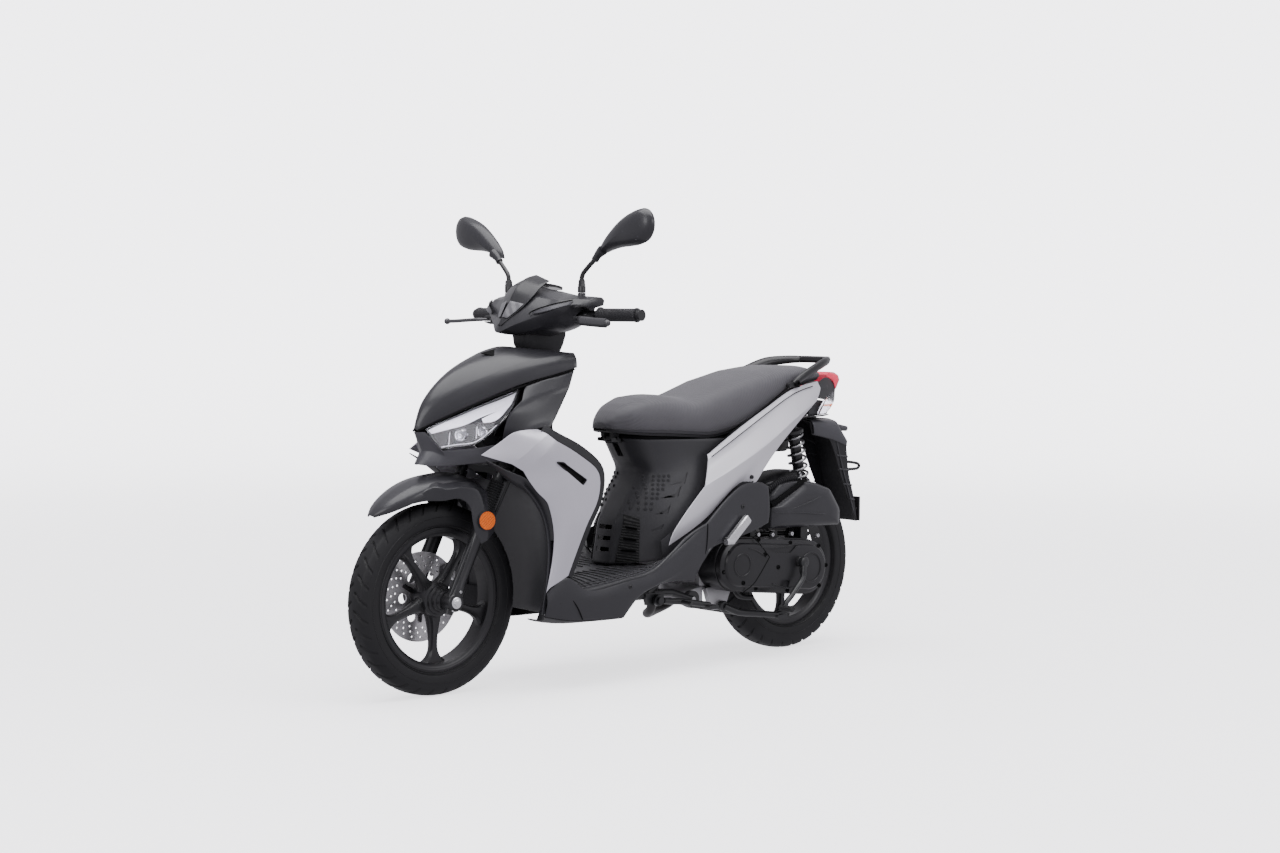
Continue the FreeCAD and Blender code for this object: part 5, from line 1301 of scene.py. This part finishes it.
def groove_depth(angle, y, half, count, lean):
    """How far a tread groove is sunk at that place: curved grooves that leave the middle band whole."""
    edge = abs(y) / half
    if edge < PLAIN_BAND:
        return 0.0
    side = 1 if y > 0 else -1
    phase = angle * count / (2 * math.pi) + side * 0.25 + lean * (edge - PLAIN_BAND) ** 1.4
    near = abs(phase - round(phase)) / count * 2 * math.pi * GROOVE_PITCH_RADIUS
    return GROOVE_DEPTH * max(0.0, 1 - (near / GROOVE_HALF_WIDTH) ** 4)


def tyre(name, node, axle, radius, half, body, count, lean):
    bead = 178.2
    section = [(26.5, bead), (27.4, bead + 8), (half - 3, bead + 16), (half - 0.5, bead + 30),
               (half - 1, bead + 44), (half - 4, radius - 17), (half - 9, radius - 9),
               (half * 0.62, radius - 3.4), (half * 0.3, radius - 0.7), (0, radius)]
    outer = spline([Vector((y, r, 0)) for y, r in section], 4, (1, 5))
    ring = [(-p.x, p.y) for p in outer[:-1]] + [(p.x, p.y) for p in reversed(outer)]
    inner = [(22, bead), (half - 8, bead + 26), (half - 11, radius - 22), (0, radius - 11),
             (11 - half, radius - 22), (8 - half, bead + 26), (-22, bead)]
    loops = []
    for k in range(TREAD_STEPS):
        angle = 2 * math.pi * k / TREAD_STEPS
        loop = []
        for y, r in ring + inner:
            tread = r > radius - 18 and (y, r) not in inner
            reach = r - (groove_depth(angle, y, half, count, lean) if tread else 0.0)
            loop.append(Vector(on_circle(axle, reach, angle, y)))
        loops.append(loop)
    piece(name, [rings(loops + [loops[0]], False)], "tyre", body, [node], 0, 0, 30)
    lines = []
    for r, y in ((bead + 14, half - 2.6), (bead + 37, half - 0.4)):
        bead_line = wheel_lathe([(y - 1.0, r - 1.4), (y + 0.9, r), (y - 1.0, r + 1.4)], axle, 120)
        lines.append(both(bead_line))
    piece(name + "_lines", lines, "tyre_wall", body)


def spoke(turn, hub, axle, deep):
    """One spoke with a channelled face, wider at the hub and splayed where it meets the band."""
    stations = [(hub - 8, 21, deep), (hub + 12, 15, deep), (90, 10.5, deep - 4), (125, 10.5, deep - 6),
                (146, 17, deep - 5), (158, 29, deep - 4), (165, 40, deep - 3)]
    loops = []
    for r, wide, y in stations:
        outline = [(-wide, -y * 0.6), (-wide * 0.7, -y), (0, -y * 0.82), (wide * 0.7, -y), (wide, -y * 0.6),
                   (wide, y * 0.6), (wide * 0.7, y), (0, y * 0.82), (-wide * 0.7, y), (-wide, y * 0.6)]
        loops.append([Vector((t, d, r)) for t, d in outline])
    matrix = Matrix.Translation((axle[0], 0, axle[1])) @ Matrix.Rotation(math.radians(turn), 4, "Y")
    return moved(lofted(loops, 5), matrix)


def rim(name, node, axle, body, hub, hub_profile, twist):
    band = [(-31, 187), (-28.5, 188), (-27.4, 180), (-24, 178), (24, 178), (27.4, 180), (28.5, 188),
            (31, 187), (31.5, 178), (29.5, 171), (24, 165), (-24, 165), (-29.5, 171), (-31.5, 178)]
    lip = [(30.5, 185), (32, 183.5), (32, 179), (30.5, 177)]
    parts = [wheel_lathe(band, axle, 120), both(wheel_lathe(lip, axle, 120)),
             wheel_lathe(hub_profile, axle, 64, False)]
    for k in range(5):
        parts.append(spoke(72 * k + twist, hub, axle, 17))
    piece(name, parts, "black_alloy", body, [node], 0, 0, 38)
    bright = []
    for k in range(5):
        angle = math.radians(72 * k + twist + 36)
        place = (axle[0] + hub * 0.72 * math.sin(angle), 22, axle[1] + hub * 0.72 * math.cos(angle))
        bright.append(bolt(place, (0, 1, 0), 4.5, 3.5))
    valve = tube([on_circle(axle, 160, 0.9, 6),
                  on_circle(axle, 140, 0.9, 14)], [4.5, 3.2], 12, 2)
    piece(name + "_fittings", bright + [valve], "black_alloy", body)


def front_wheel():
    profile = [(-51, 0), (-51, 33), (-46, 36), (-30, 36), (-20, 44), (16, 46), (24, 44), (27, 38),
               (34, 37), (36, 31), (47, 30), (49, 26), (60, 25), (62, 21), (62, 0)]
    rim("front_wheel_rim", "front_rim", FRONT_AXLE, "front_wheel", 46, profile, 180)
    tyre("front_tyre_tread", "front_tyre", FRONT_AXLE, 250.0, 40.0, "front_wheel", 34, 1.0)
    near, bolts, far = 30, 44, 66
    parts = []
    for k in range(6):
        angle = math.radians(60 * k + 30)
        arm = tube([on_circle(FRONT_AXLE, near, angle, -50),
                    on_circle(FRONT_AXLE, far, angle, -51)],
                   [9, 7], 12, 2, flat=0.35)
        parts.append(arm)
        parts.append(bolt(on_circle(FRONT_AXLE, bolts, angle, -51),
                          (0, 1, 0), 5, 3))
    piece("disc_carrier", parts, "black_alloy", "front_wheel")
    dress("brake_disc", "disc_steel")
    drive = wheel_lathe([(63, 18), (64, 20), (65.4, 20), (65.4, 9)], FRONT_AXLE, 32, False)
    pinion = tube([(672, 60, 252), (658, 58, 268), (643, 57, 287)], [8, 7, 5], 16, 4)
    piece("speed_drive", [pinion, drive], "grained", "fork_lower")


def caliper():
    body = prism([(556, 276), (598, 268), (624, 290), (622, 326), (592, 334), (560, 322)], 8,
                 (-72, -70, -42, -40))
    slot = wheel_lathe([(-58.5, 40), (-58.5, 122), (-49.5, 122), (-49.5, 40)], FRONT_AXLE, 72)
    arm = prism([(612, 284), (655, 292), (655, 318), (612, 322)], 6, (-65, -59))
    piece("caliper_body", [body, arm], "grey_alloy", "fork_lower", ["brake_caliper"], 0, 1.2, holes=[slot])
    heads = [bolt((x, -72, z), (0, -1, 0), 6, 4) for x, z in ((572, 300), (604, 312))]
    heads += [bolt((640, -65, 305), (0, -1, 0), 6, 4), bolt((590, -40, 300), (0, 1, 0), 13, 4)]
    hose = tube([(582, -56, 334), (570, -58, 372), (566, -66, 430), (550, -74, 500), (524, -70, 570)], 3.4,
                10, 6)
    piece("caliper_fittings", heads, "steel", "fork_lower")
    piece("brake_hose", [hose], "rubber", "fork_lower")


# ---- engine unit --------------------------------------------------------------------------------------
def stadium(front, rear, front_radius, rear_radius, steps=22):
    """The (x, z) outline round two circles and the lines between them."""
    a, b = Vector(front), Vector(rear)
    span = b - a
    along = math.atan2(span.y, span.x)
    lean = math.acos((front_radius - rear_radius) / span.length)
    outline = []
    for k in range(steps + 1):
        angle = along + lean + (2 * math.pi - 2 * lean) * k / steps
        outline.append((a.x + front_radius * math.cos(angle), a.y + front_radius * math.sin(angle)))
    for k in range(steps + 1):
        angle = along - lean + 2 * lean * k / steps
        outline.append((b.x + rear_radius * math.cos(angle), b.y + rear_radius * math.sin(angle)))
    return outline


def belt_cover():
    """The belt cover: a stepped dish with a seam, screws, a round boss, ribs and a pocket."""
    loops = []
    for y, shrink in ((138.2, 0), (152, 0), (156, 1.2), (158, 4), (159, 9), (161, 13), (166, 15), (169, 18),
                      (170, 22)):
        loops.append([(x, y, z) for x, z in stadium(CRANK, CLUTCH, 76 - shrink, 79 - shrink)])
    shaft = lathe([(150, 8.1), (190, 8.1)], (KICK_PIVOT[0], 0, KICK_PIVOT[1]), (0, 1, 0), 24)
    pocket = plate([(-470, 226), (-430, 230), (-428, 210), (-462, 200)], 165, 180, 6)
    scoop = plate([(-494, 324), (-380, 322), (-404, 312), (-470, 306)], 166.5, 180, 5)
    piece("belt_cover_shell", [rings(loops)], "black_alloy", "engine", ["cvt_cover"], 0, 0, 30,
          [shaft, pocket, scoop])
    def ring(x, z, inner, outer, y0, y1):
        return lathe([(y0, outer), (y1 - 1, outer), (y1, outer - 1), (y1, inner + 1), (y1 - 1, inner),
                      (y0, inner)],
                     (x, 0, z), (0, 1, 0), 64, True)
    raised = [ring(-556, 258, 40, 46, 169, 172.4), ring(KICK_PIVOT[0], KICK_PIVOT[1], 8.6, 15, 168, 178),
              ring(-275, 284, 30, 34, 169, 172)]
    ribs = [tube([(-352, 169, 330), (-420, 170, 326), (-500, 169, 330)], 2.4, 8, 5),
            tube([(-396, 169.5, 222), (-450, 170, 206), (-512, 169, 204)], 2.4, 8, 5),
            tube([(-300, 169.5, 330), (-330, 170, 322), (-372, 170, 300)], 2.0, 8, 5)]
    piece("belt_cover_ribs", raised + ribs, "black_alloy", "engine")
    seam = tube([(-326, 158, 360), (-340, 169.6, 344), (-384, 170.3, 300), (-330, 170.3, 236),
                 (-306, 169.6, 218), (-292, 158, 205)], 1.2, 8, 5, (1, 2, 4))
    piece("belt_cover_seam", [seam], "shadow", "engine")
    heads = [bolt(p, (0, 1, 0), 6.5, 4) for p in (
        (-366, 169.6, 309), (-420, 169.6, 268), (-279, 169.6, 233), (-232, 160, 322), (-212, 158, 268),
        (-480, 158.5, 334), (-470, 158.5, 196), (-600, 158.5, 318), (-632, 158.5, 258), (-604, 158.5, 200),
        (-350, 158.5, 352), (-340, 158.5, 212))]
    piece("belt_cover_screws", [merged(heads)], "shadow", "engine")


def engine_case():
    case = rings([[(x, y, z) for x, z in stadium(CRANK, CLUTCH, 79, 82)] for y in (64, 70, 132, 137.8)])
    crank = plate([(-205, 214), (-205, 330), (-250, 372), (-322, 360), (-334, 300), (-330, 210)], -68, 66, 14)
    lug = plate([(-128, 172), (-128, 208), (-206, 222), (-206, 176)], -80, 80, 6)
    pivot = lathe([(-82, 18), (82, 18)], (-150, 0, 190), (0, 1, 0), 36)
    pin = lathe([(-104, 8), (104, 8)], (-150, 0, 190), (0, 1, 0), 20)
    stand_lug = plate([(-290, 148), (-240, 150), (-215, 216), (-320, 216)], 66, 84, 6)
    axle = wheel_lathe([(-62, 7.5), (72, 7.5)], REAR_AXLE, 24, False)
    shock_lug = plate([(-612, 330), (-546, 336), (-578, 448), (-612, 448)], 68, 84, 8)
    bolt_pin = lathe([(68, 5), (120, 5)], (SHOCK_LOWER.x, 0, SHOCK_LOWER.z), (0, 1, 0), 16)
    piece("transmission_case", [case, shock_lug], "black_alloy", "engine", (), 0, 1.2, 34)
    piece("engine_castings", [crank, lug, pivot, pin, both(stand_lug), axle, bolt_pin], "cast", "engine",
          ["engine_case"], 0, 1.2, 34)
    fan = lathe([(-68, 76), (-70, 78), (-112, 78), (-118, 72), (-118, 30), (-110, 26), (-110, 0)],
                (CRANK[0], 0, CRANK[1]), (0, 1, 0), 72)
    blades = []
    for k in range(12):
        angle = math.radians(30 * k)
        blades.append(tube([on_circle(CRANK, 30, angle, -118.5),
                            on_circle(CRANK, 66, angle + 0.25, -118.5)],
                           1.8, 8, 2))
    piece("fan_cowl", [fan] + blades, "grained", "engine")
    under = [tube([(-352, 60, 206), (-372, 60, 178), (-420, 62, 170)], 9, 12, 4),
             tube([(-300, 40, 360), (-372, 62, 356), (-520, 70, 352), (-640, 78, 344)], 7, 12, 5),
             plate([(-470, 336), (-452, 336), (-452, 366), (-470, 366)], 100, 116, 3),
             plate([(-380, 356), (-352, 356), (-352, 372), (-380, 372)], 100, 122, 3),
             plate([(-590, 336), (-560, 336), (-560, 372), (-590, 372)], 96, 124, 3)]
    piece("case_fittings", under, "paint", "engine")
    places = ((-362, 364), (-420, 360), (-500, 358), (-610, 346))
    case_bolts = [bolt((x, 138, z), (0, 1, 0), 7, 10) for x, z in places]
    piece("case_bolts", case_bolts, "bright", "engine")


def air_box():
    """The filter housing in two mouldings with a dark strap between them, and its corrugated hose."""
    def shell(outline, y0, ys, shrink):
        centre = sum((Vector(p) for p in outline), Vector((0, 0))) / len(outline)
        smooth = rounded(outline, 9, 4)
        loops = []
        for y, s, lift in ys:
            low = s - shrink * (1 - s)
            loops.append([(centre.x + (x - centre.x) * s, y, centre.y + lift + (z - centre.y) * low)
                          for x, z in smooth])
        return rings([[(x, y0, z) for x, z in smooth]] + loops)
    rear = shell([(-404, 378), (-404, 440), (-536, 510), (-590, 504), (-655, 483), (-700, 420),
                  (-700, 373)], 92,
                 ((146, 1.0, 0), (152, 0.97, 0), (158, 0.9, 0), (163, 0.78, -2), (165, 0.6, -4)), 0.2)
    front = shell([(-272, 384), (-300, 420), (-340, 474), (-362, 470), (-366, 382)], 104,
                  ((150, 1.0, 0), (160, 0.96, 0), (166, 0.82, 0)), 0.1)
    top = shell([(-404, 452), (-404, 470), (-440, 505), (-500, 513), (-528, 512)], 96,
                ((140, 1.0, 0), (148, 0.94, 0), (154, 0.8, 0)), 0.1)
    recess = plate([(-548, 560), (-552, 404), (-640, 404), (-646, 560)], 60, 134)
    piece("air_box_rear", [rear], "graphite", "engine", ["air_box"], 0, 1.0, 22, [recess])
    piece("air_box_front", [front, top], "satin", "engine", (), 0, 1.0, 28)
    strap = plate([(-368, 380), (-400, 380), (-398, 446), (-384, 470), (-372, 462)], 96, 156, 3)
    band = rings([[(x, y, z) for x, z in [(-404, 440), (-400, 452), (-530, 515), (-545, 512)]]
                  for y in (96, 161)])
    piece("air_box_strap", [strap, band], "shadow", "engine", (), 0, 0.8)
    creases = [tube([(-478, 165, 432), (-560, 166.4, 452), (-628, 161, 470)], [0.8, 2.2, 0.8], 8, 5),
               tube([(-408, 163, 426), (-520, 166, 420), (-600, 165.6, 412), (-690, 155, 408)],
                    [0.8, 2, 2, 0.8], 8, 5)]
    piece("air_box_creases", creases, "graphite", "engine")
    coil = []
    for k in range(17):
        t = k / 16
        at = Vector((-398 - 118 * t, 140, 490 + 30 * math.sin(t * 1.7)))
        coil.append(lathe([(-2.6, 6.5), (-1, 9.5), (1, 9.5), (2.6, 6.5)], at, (-1, 0, 0.3), 18))
    piece("breather_hose", coil, "grained", "engine")
    rows = []
    radius = 276
    for degrees in (30, 48, 66, 84, 102):
        angle = math.radians(degrees)
        rows.append([on_circle(REAR_AXLE, radius - drop, angle, y)
                     for y, drop in ((58, 22), (40, 4), (0, 0), (-40, 4), (-58, 22))])
    panel("hugger", rows, "grained", "engine", (0, 0, 1), (), 5, (), (), 3.0, 0.8)


def exhaust():
    front, rear = Vector((-380, -146, 238)), Vector((-742, -146, 322))
    along = (rear - front).normalized()
    length = (rear - front).length
    can = lathe([(-40, 28), (-38, 30), (-14, 31), (0, 47), (10, 50), (length - 8, 50), (length - 2, 47),
                 (length, 42), (length, 12)], front, along, 56)
    pipe = tube([front - along * 30, (-336, -146, 186), (-290, -138, 150), (-200, -112, 133),
                 (-120, -60, 136), (-94, -14, 160), (-92, 0, 222)], 13.0, 20, 6)
    outlet = lathe([(-1, 10.4), (-1, 14), (18, 14), (20, 13), (20, 10.4)], rear, along, 28, True)
    stay = plate([(-350, 262), (-318, 262), (-318, 290), (-350, 290)], -150, -118, 4)
    piece("exhaust_system", [can, pipe, outlet, stay], "pipe", "engine", ["muffler"], 0, 0, 30)
    over = along.cross(Vector((0, 1, 0)))
    loops = []
    for share in (0.1, 0.16, 0.3, 0.5, 0.7, 0.8, 0.84):
        at = front + along * (length * share)
        reach = 50.6 + (3.0 if 0.12 < share < 0.82 else 0.6)
        loops.append([at + (Vector((0, -1, 0)) * math.cos(a) + over * math.sin(a)) * reach
                      for a in [math.radians(-80 + 10 * k) for k in range(17)]])
    guard = facing(grid(loops), (0, -1, 0))
    slots = []
    for k in range(5):
        at = front + along * (length * (0.26 + 0.11 * k))
        slots.append(tube([at + Vector((0, -54, 0)) - over * 16, at + Vector((0, -54.4, 0)) + over * 16],
                          5, 10, 1))
    piece("exhaust_guard", [guard], "chrome", "engine", (), 1.6, 0.6, 34)
    piece("exhaust_guard_slots", [shifted(merged(slots), 0, 3.2, 0)], "shadow", "engine")


def shock_and_spring():
    low, high = SHOCK_LOWER, SHOCK_UPPER
    along = (high - low).normalized()
    length = (high - low).length
    damper = lathe([(-150, 16), (-148, 17), (-40, 17), (-38, 19), (-34.6, 30), (-26, 30), (-24, 22),
                    (-20, 12), (-8, 10), (-8, 0)], high, along, 40)
    eye = lathe([(-12, 6.1), (-12, 13), (-10, 14), (10, 14), (12, 13), (12, 6.1)], high, (0, 1, 0), 32, True)
    piece("shock_tube", [damper, eye], "paint", "shock_upper", ["shock_body"])
    rod = lathe([(8, 9), (26, 9), (26, 26), (28, 30), (35, 30), (36.5, 27), (36.5, 6), (length - 116, 6),
                 (length - 116, 0)], low, along, 40)
    low_eye = lathe([(-12, 8.6), (-12, 13), (-10, 14), (10, 14), (12, 13), (12, 8.6)], low, (0, 1, 0), 32,
                    True)
    piece("shock_shaft", [rod, low_eye], "chrome", "shock_lower", ["shock_rod"])
    dress("shock_spring", "spring_steel")


def kick_starter():
    x, z = KICK_PIVOT
    boss = lathe([(179.5, 0), (179.5, 15), (181, 16), (193, 16), (195, 13), (195, 0)], (x, 0, z),
                 (0, 1, 0), 36)
    shaft = lathe([(164, 8), (182, 8)], (x, 0, z), (0, 1, 0), 24)
    arm = tube([(x, 188, z), (-503, 192, 254), (-498, 194, 234), (-470, 196, 206), (-444, 197, 182),
                (-428, 198, 170), (-420, 198, 156)], [9, 8, 8, 8, 8, 8, 8.5], 18, 5)
    pedal = lathe([(182, 7), (184, 9), (188, 9)] + [(190 + 4 * k + d, r) for k in range(9) for d, r in
                                                   ((0, 8), (1, 9), (3, 9))] + [(230, 9), (232, 7), (232, 0)],
                  (-418, 0, 153), (0, 1, 0), 24)
    piece("kick_arm", [boss, shaft, arm], "paint", "kick", ["kick_lever"])
    piece("kick_pedal", [pedal], "rubber", "kick")


def stands():
    x, z = CRANK[0], 160
    leg = tube([(x, 95.5, z), (-302, 101, 148), (-330, 106, 138), (-400, 112, 129), (-470, 118, 120)], 10,
               18, 5)
    foot = prism([(-502, 108), (-462, 108), (-458, 120), (-500, 124)], 4, (105, 133))
    tang = tube([(-470, 118, 122), (-490, 130, 130), (-512, 150, 142)], 8, 16, 4)
    hub = lathe([(85, 13), (87, 15), (98, 15), (100, 13)], (x, 0, z), (0, 1, 0), 32)
    cross = tube([(-330, -106, 138), (-330, 106, 138)], 9, 16, 1)
    pin = lathe([(-98, 6), (98, 6)], (x, 0, z), (0, 1, 0), 20)
    piece("main_stand", [both(merged([leg, foot, hub])), tang, cross, pin], "paint", "stand_centre",
          ["centre_stand"])
    sx, sz = 20.0, 206.0
    blade = tube([(2, 141, 203), (-28, 141.5, 199), (-60, 142, 196), (-116, 145, 187), (-168, 148, 178)],
                 [9, 9, 9, 8.5, 8], 16, 5)
    eye = lathe([(133.3, 6.2), (133.3, 15), (134.5, 16), (144.8, 16), (145.8, 15), (145.8, 6.2)], (sx, 0, sz),
                (0, 1, 0), 36, True)
    shoe = prism([(-187, 168), (-152, 168), (-150, 178), (-184, 179)], 3, (136, 168))
    peg = tube([(-60, 142, 196), (-66, 160, 194), (-70, 178, 192)], 6, 14, 3)
    piece("prop_stand", [blade, eye, shoe, peg], "paint", "stand_side", ["side_stand"])


def pegs():
    x, z = PEG_HINGE
    along = Vector((-73, 0, 63)).normalized()
    across = along.cross(SIDEWAYS)
    for side, suffix, body in ((1, "left", "peg_left"), (-1, "right", "peg_right")):
        knuckle = tube([(x - 14, 197, z), (x + 14, 197, z)], 9, 20, 1)
        loops = []
        for t in (0, 0.06, 0.5, 0.94, 1):
            wide = 13.6 if 0 < t < 1 else 11.5
            deep = 7.6 if 0 < t < 1 else 6
            at = Vector((x - 1, 197, z)).lerp(Vector((-269, 197, 421)), t)
            loops.append([at + across * (wide * a) + Vector((0, deep * b, 0)) for a, b in
                          ((-1, -0.7), (-0.8, -1), (0.8, -1), (1, -0.7), (1, 0.7), (0.8, 1), (-0.8, 1),
                           (-1, 0.7))])
        ridges = []
        for k in range(7):
            at = Vector((x - 1, 204.4, z)).lerp(Vector((-269, 204.4, 421)), 0.22 + 0.11 * k)
            ridges.append(tube([at - across * 10, at + across * 10], 0.9, 6, 1))
        parts = merged([knuckle, rings(loops)] + ridges)
        piece("peg_bar_" + suffix, [on_side(parts, side)], "bright", body, ["footpeg_" + suffix],
              0, 0, 34)


# ---- seat ---------------------------------------------------------------------------------------------
SEAT_STATIONS = [
    (117, 677, 24, 692), (107, 673, 42, 706), (89, 669, 58, 724), (60, 666, 78, 743), (10, 662, 97, 762),
    (-60, 659, 110, 767), (-140, 654, 124, 759), (-190, 652, 130, 772), (-290, 672, 136, 806),
    (-410, 730, 132, 833), (-520, 786, 118, 845), (-610, 800, 104, 844), (-665, 808, 88, 834),
    (-688, 815, 68, 825), (-693, 817, 50, 822)]
SECTION = [(0.0, 0.0), (0.55, 0.0), (0.9, 0.0), (0.985, 0.1), (1.0, 0.32), (0.955, 0.6), (0.83, 0.82),
           (0.62, 0.94), (0.34, 0.99), (0.0, 1.0)]


def seat_loop(x, low, half, top):
    left = [Vector((x, half * a, low + (top - low) * b)) for a, b in SECTION]
    right = [Vector((p.x, -p.y, p.z)) for p in reversed(left[1:-1])]
    return spline(left + right, 3, (0, 2, 16), True)


def seat():
    """A crowned moulded cushion with its welted edge, over a pan with a rim and a hinge bracket."""
    values = spline([Vector(s[:3]) for s in SEAT_STATIONS], 6)
    tops = spline([Vector((s[3], 0, 0)) for s in SEAT_STATIONS], 6)
    loops = [seat_loop(v.x, v.y, v.z, t.x) for v, t in zip(values, tops)]
    cushion = piece("seat_pad", [rings(loops)], "vinyl", "seat", ["seat_cushion"], 0, 0, 60)
    welt = [Vector((v.x, v.z * 0.985 + 0.6, v.y + (t.x - v.y) * 0.1)) for v, t in zip(values, tops)][2:-2:3]
    piece("seat_welts", [both(tube(welt, 1.2, 8, 2))], "thread", "seat")
    pan = []
    for v in values[1:-1:2]:
        pan.append([(v.x, v.z * a, v.y - b) for a, b in ((0.95, -0.5), (0.93, 5.5), (0.8, 6.5), (0.4, 6.5),
                                                         (0, 6.5))])
    pan = facing(grid([[Vector(p) for p in row] for row in whole(pan)]), (0, 0, -1))
    lugs = []
    for side in (1, -1):
        y0, y1 = sorted((side * 12, side * 26))
        lugs.append(plate([(68, 672), (92, 672), (90, 650), (82, 639), (72, 640), (68, 652)], y0, y1, 4))
        rubber = lathe([(0, 9), (6, 8), (7, 5)], (-420, side * 80, 724), (0, 0, -1), 20)
        lugs.append(rubber)
    piece("seat_pan", [pan] + lugs, "grained", "seat", ["seat_base"])
    bracket = [plate([(60, 636), (98, 640), (98, 650), (86, 650), (60, 646)], 27, 31, 3),
               lathe([(-31, 4.6), (31, 4.6)], (78, 0, 648), (0, 1, 0), 16)]
    piece("hinge_bracket", [both(bracket[0]), bracket[1]], "paint", "chassis")


def key():
    blade = prism([(281, 800), (266, 799), (262, 792), (252, 793), (249, 803), (252, 815), (262, 816),
                   (266, 806), (281, 806)], 3, (-71.5, -68.5))
    barrel = lathe([(-18, 8), (19, 8), (21, 6.5), (21, 0)], LOCK_FACE, LOCK_AXIS, 28)
    piece("lock_barrel", [blade, barrel], "steel", "ignition_lock", ["ignition_key"])


# ---- everything ---------------------------------------------------------------------------------------
def dress_frame_nodes():
    for node in ("frame", "fuel_tank", "steering_stem", "handlebar"):
        dress(node, "paint")
    dress("helmet_box", "grained")
    dress("speedometer_cable", "rubber")
    dress("variator_and_belt", "cast")
    dress("cylinder", "cast")
    for node in ("horn_button", "starter_button"):
        dress(node, "grained")


def build():
    make_studio(make_materials())
    nose_brow()
    front_cowl()
    headlight()
    leg_panels()
    inner_shield()
    wheel_arch()
    floor()
    lower_covers()
    centre_cover()
    side_covers()
    tail()
    grab_rail()
    mudguard()
    headset()
    instruments()
    switches()
    grips()
    levers()
    mirrors()
    fork()
    fender()
    front_wheel()
    caliper()
    profile = [(-44, 0), (-44, 50), (-38, 58), (-20, 60), (20, 56), (38, 52), (44, 46), (44, 0)]
    rim("rear_wheel_rim", "rear_rim", REAR_AXLE, "rear_wheel", 58, profile, 36)
    tyre("rear_tyre_tread", "rear_tyre", REAR_AXLE, 258.0, 45.0, "rear_wheel", 34, -0.7)
    belt_cover()
    engine_case()
    air_box()
    exhaust()
    shock_and_spring()
    kick_starter()
    stands()
    pegs()
    seat()
    key()
    dress_frame_nodes()


make_camera()
make_world()
build()
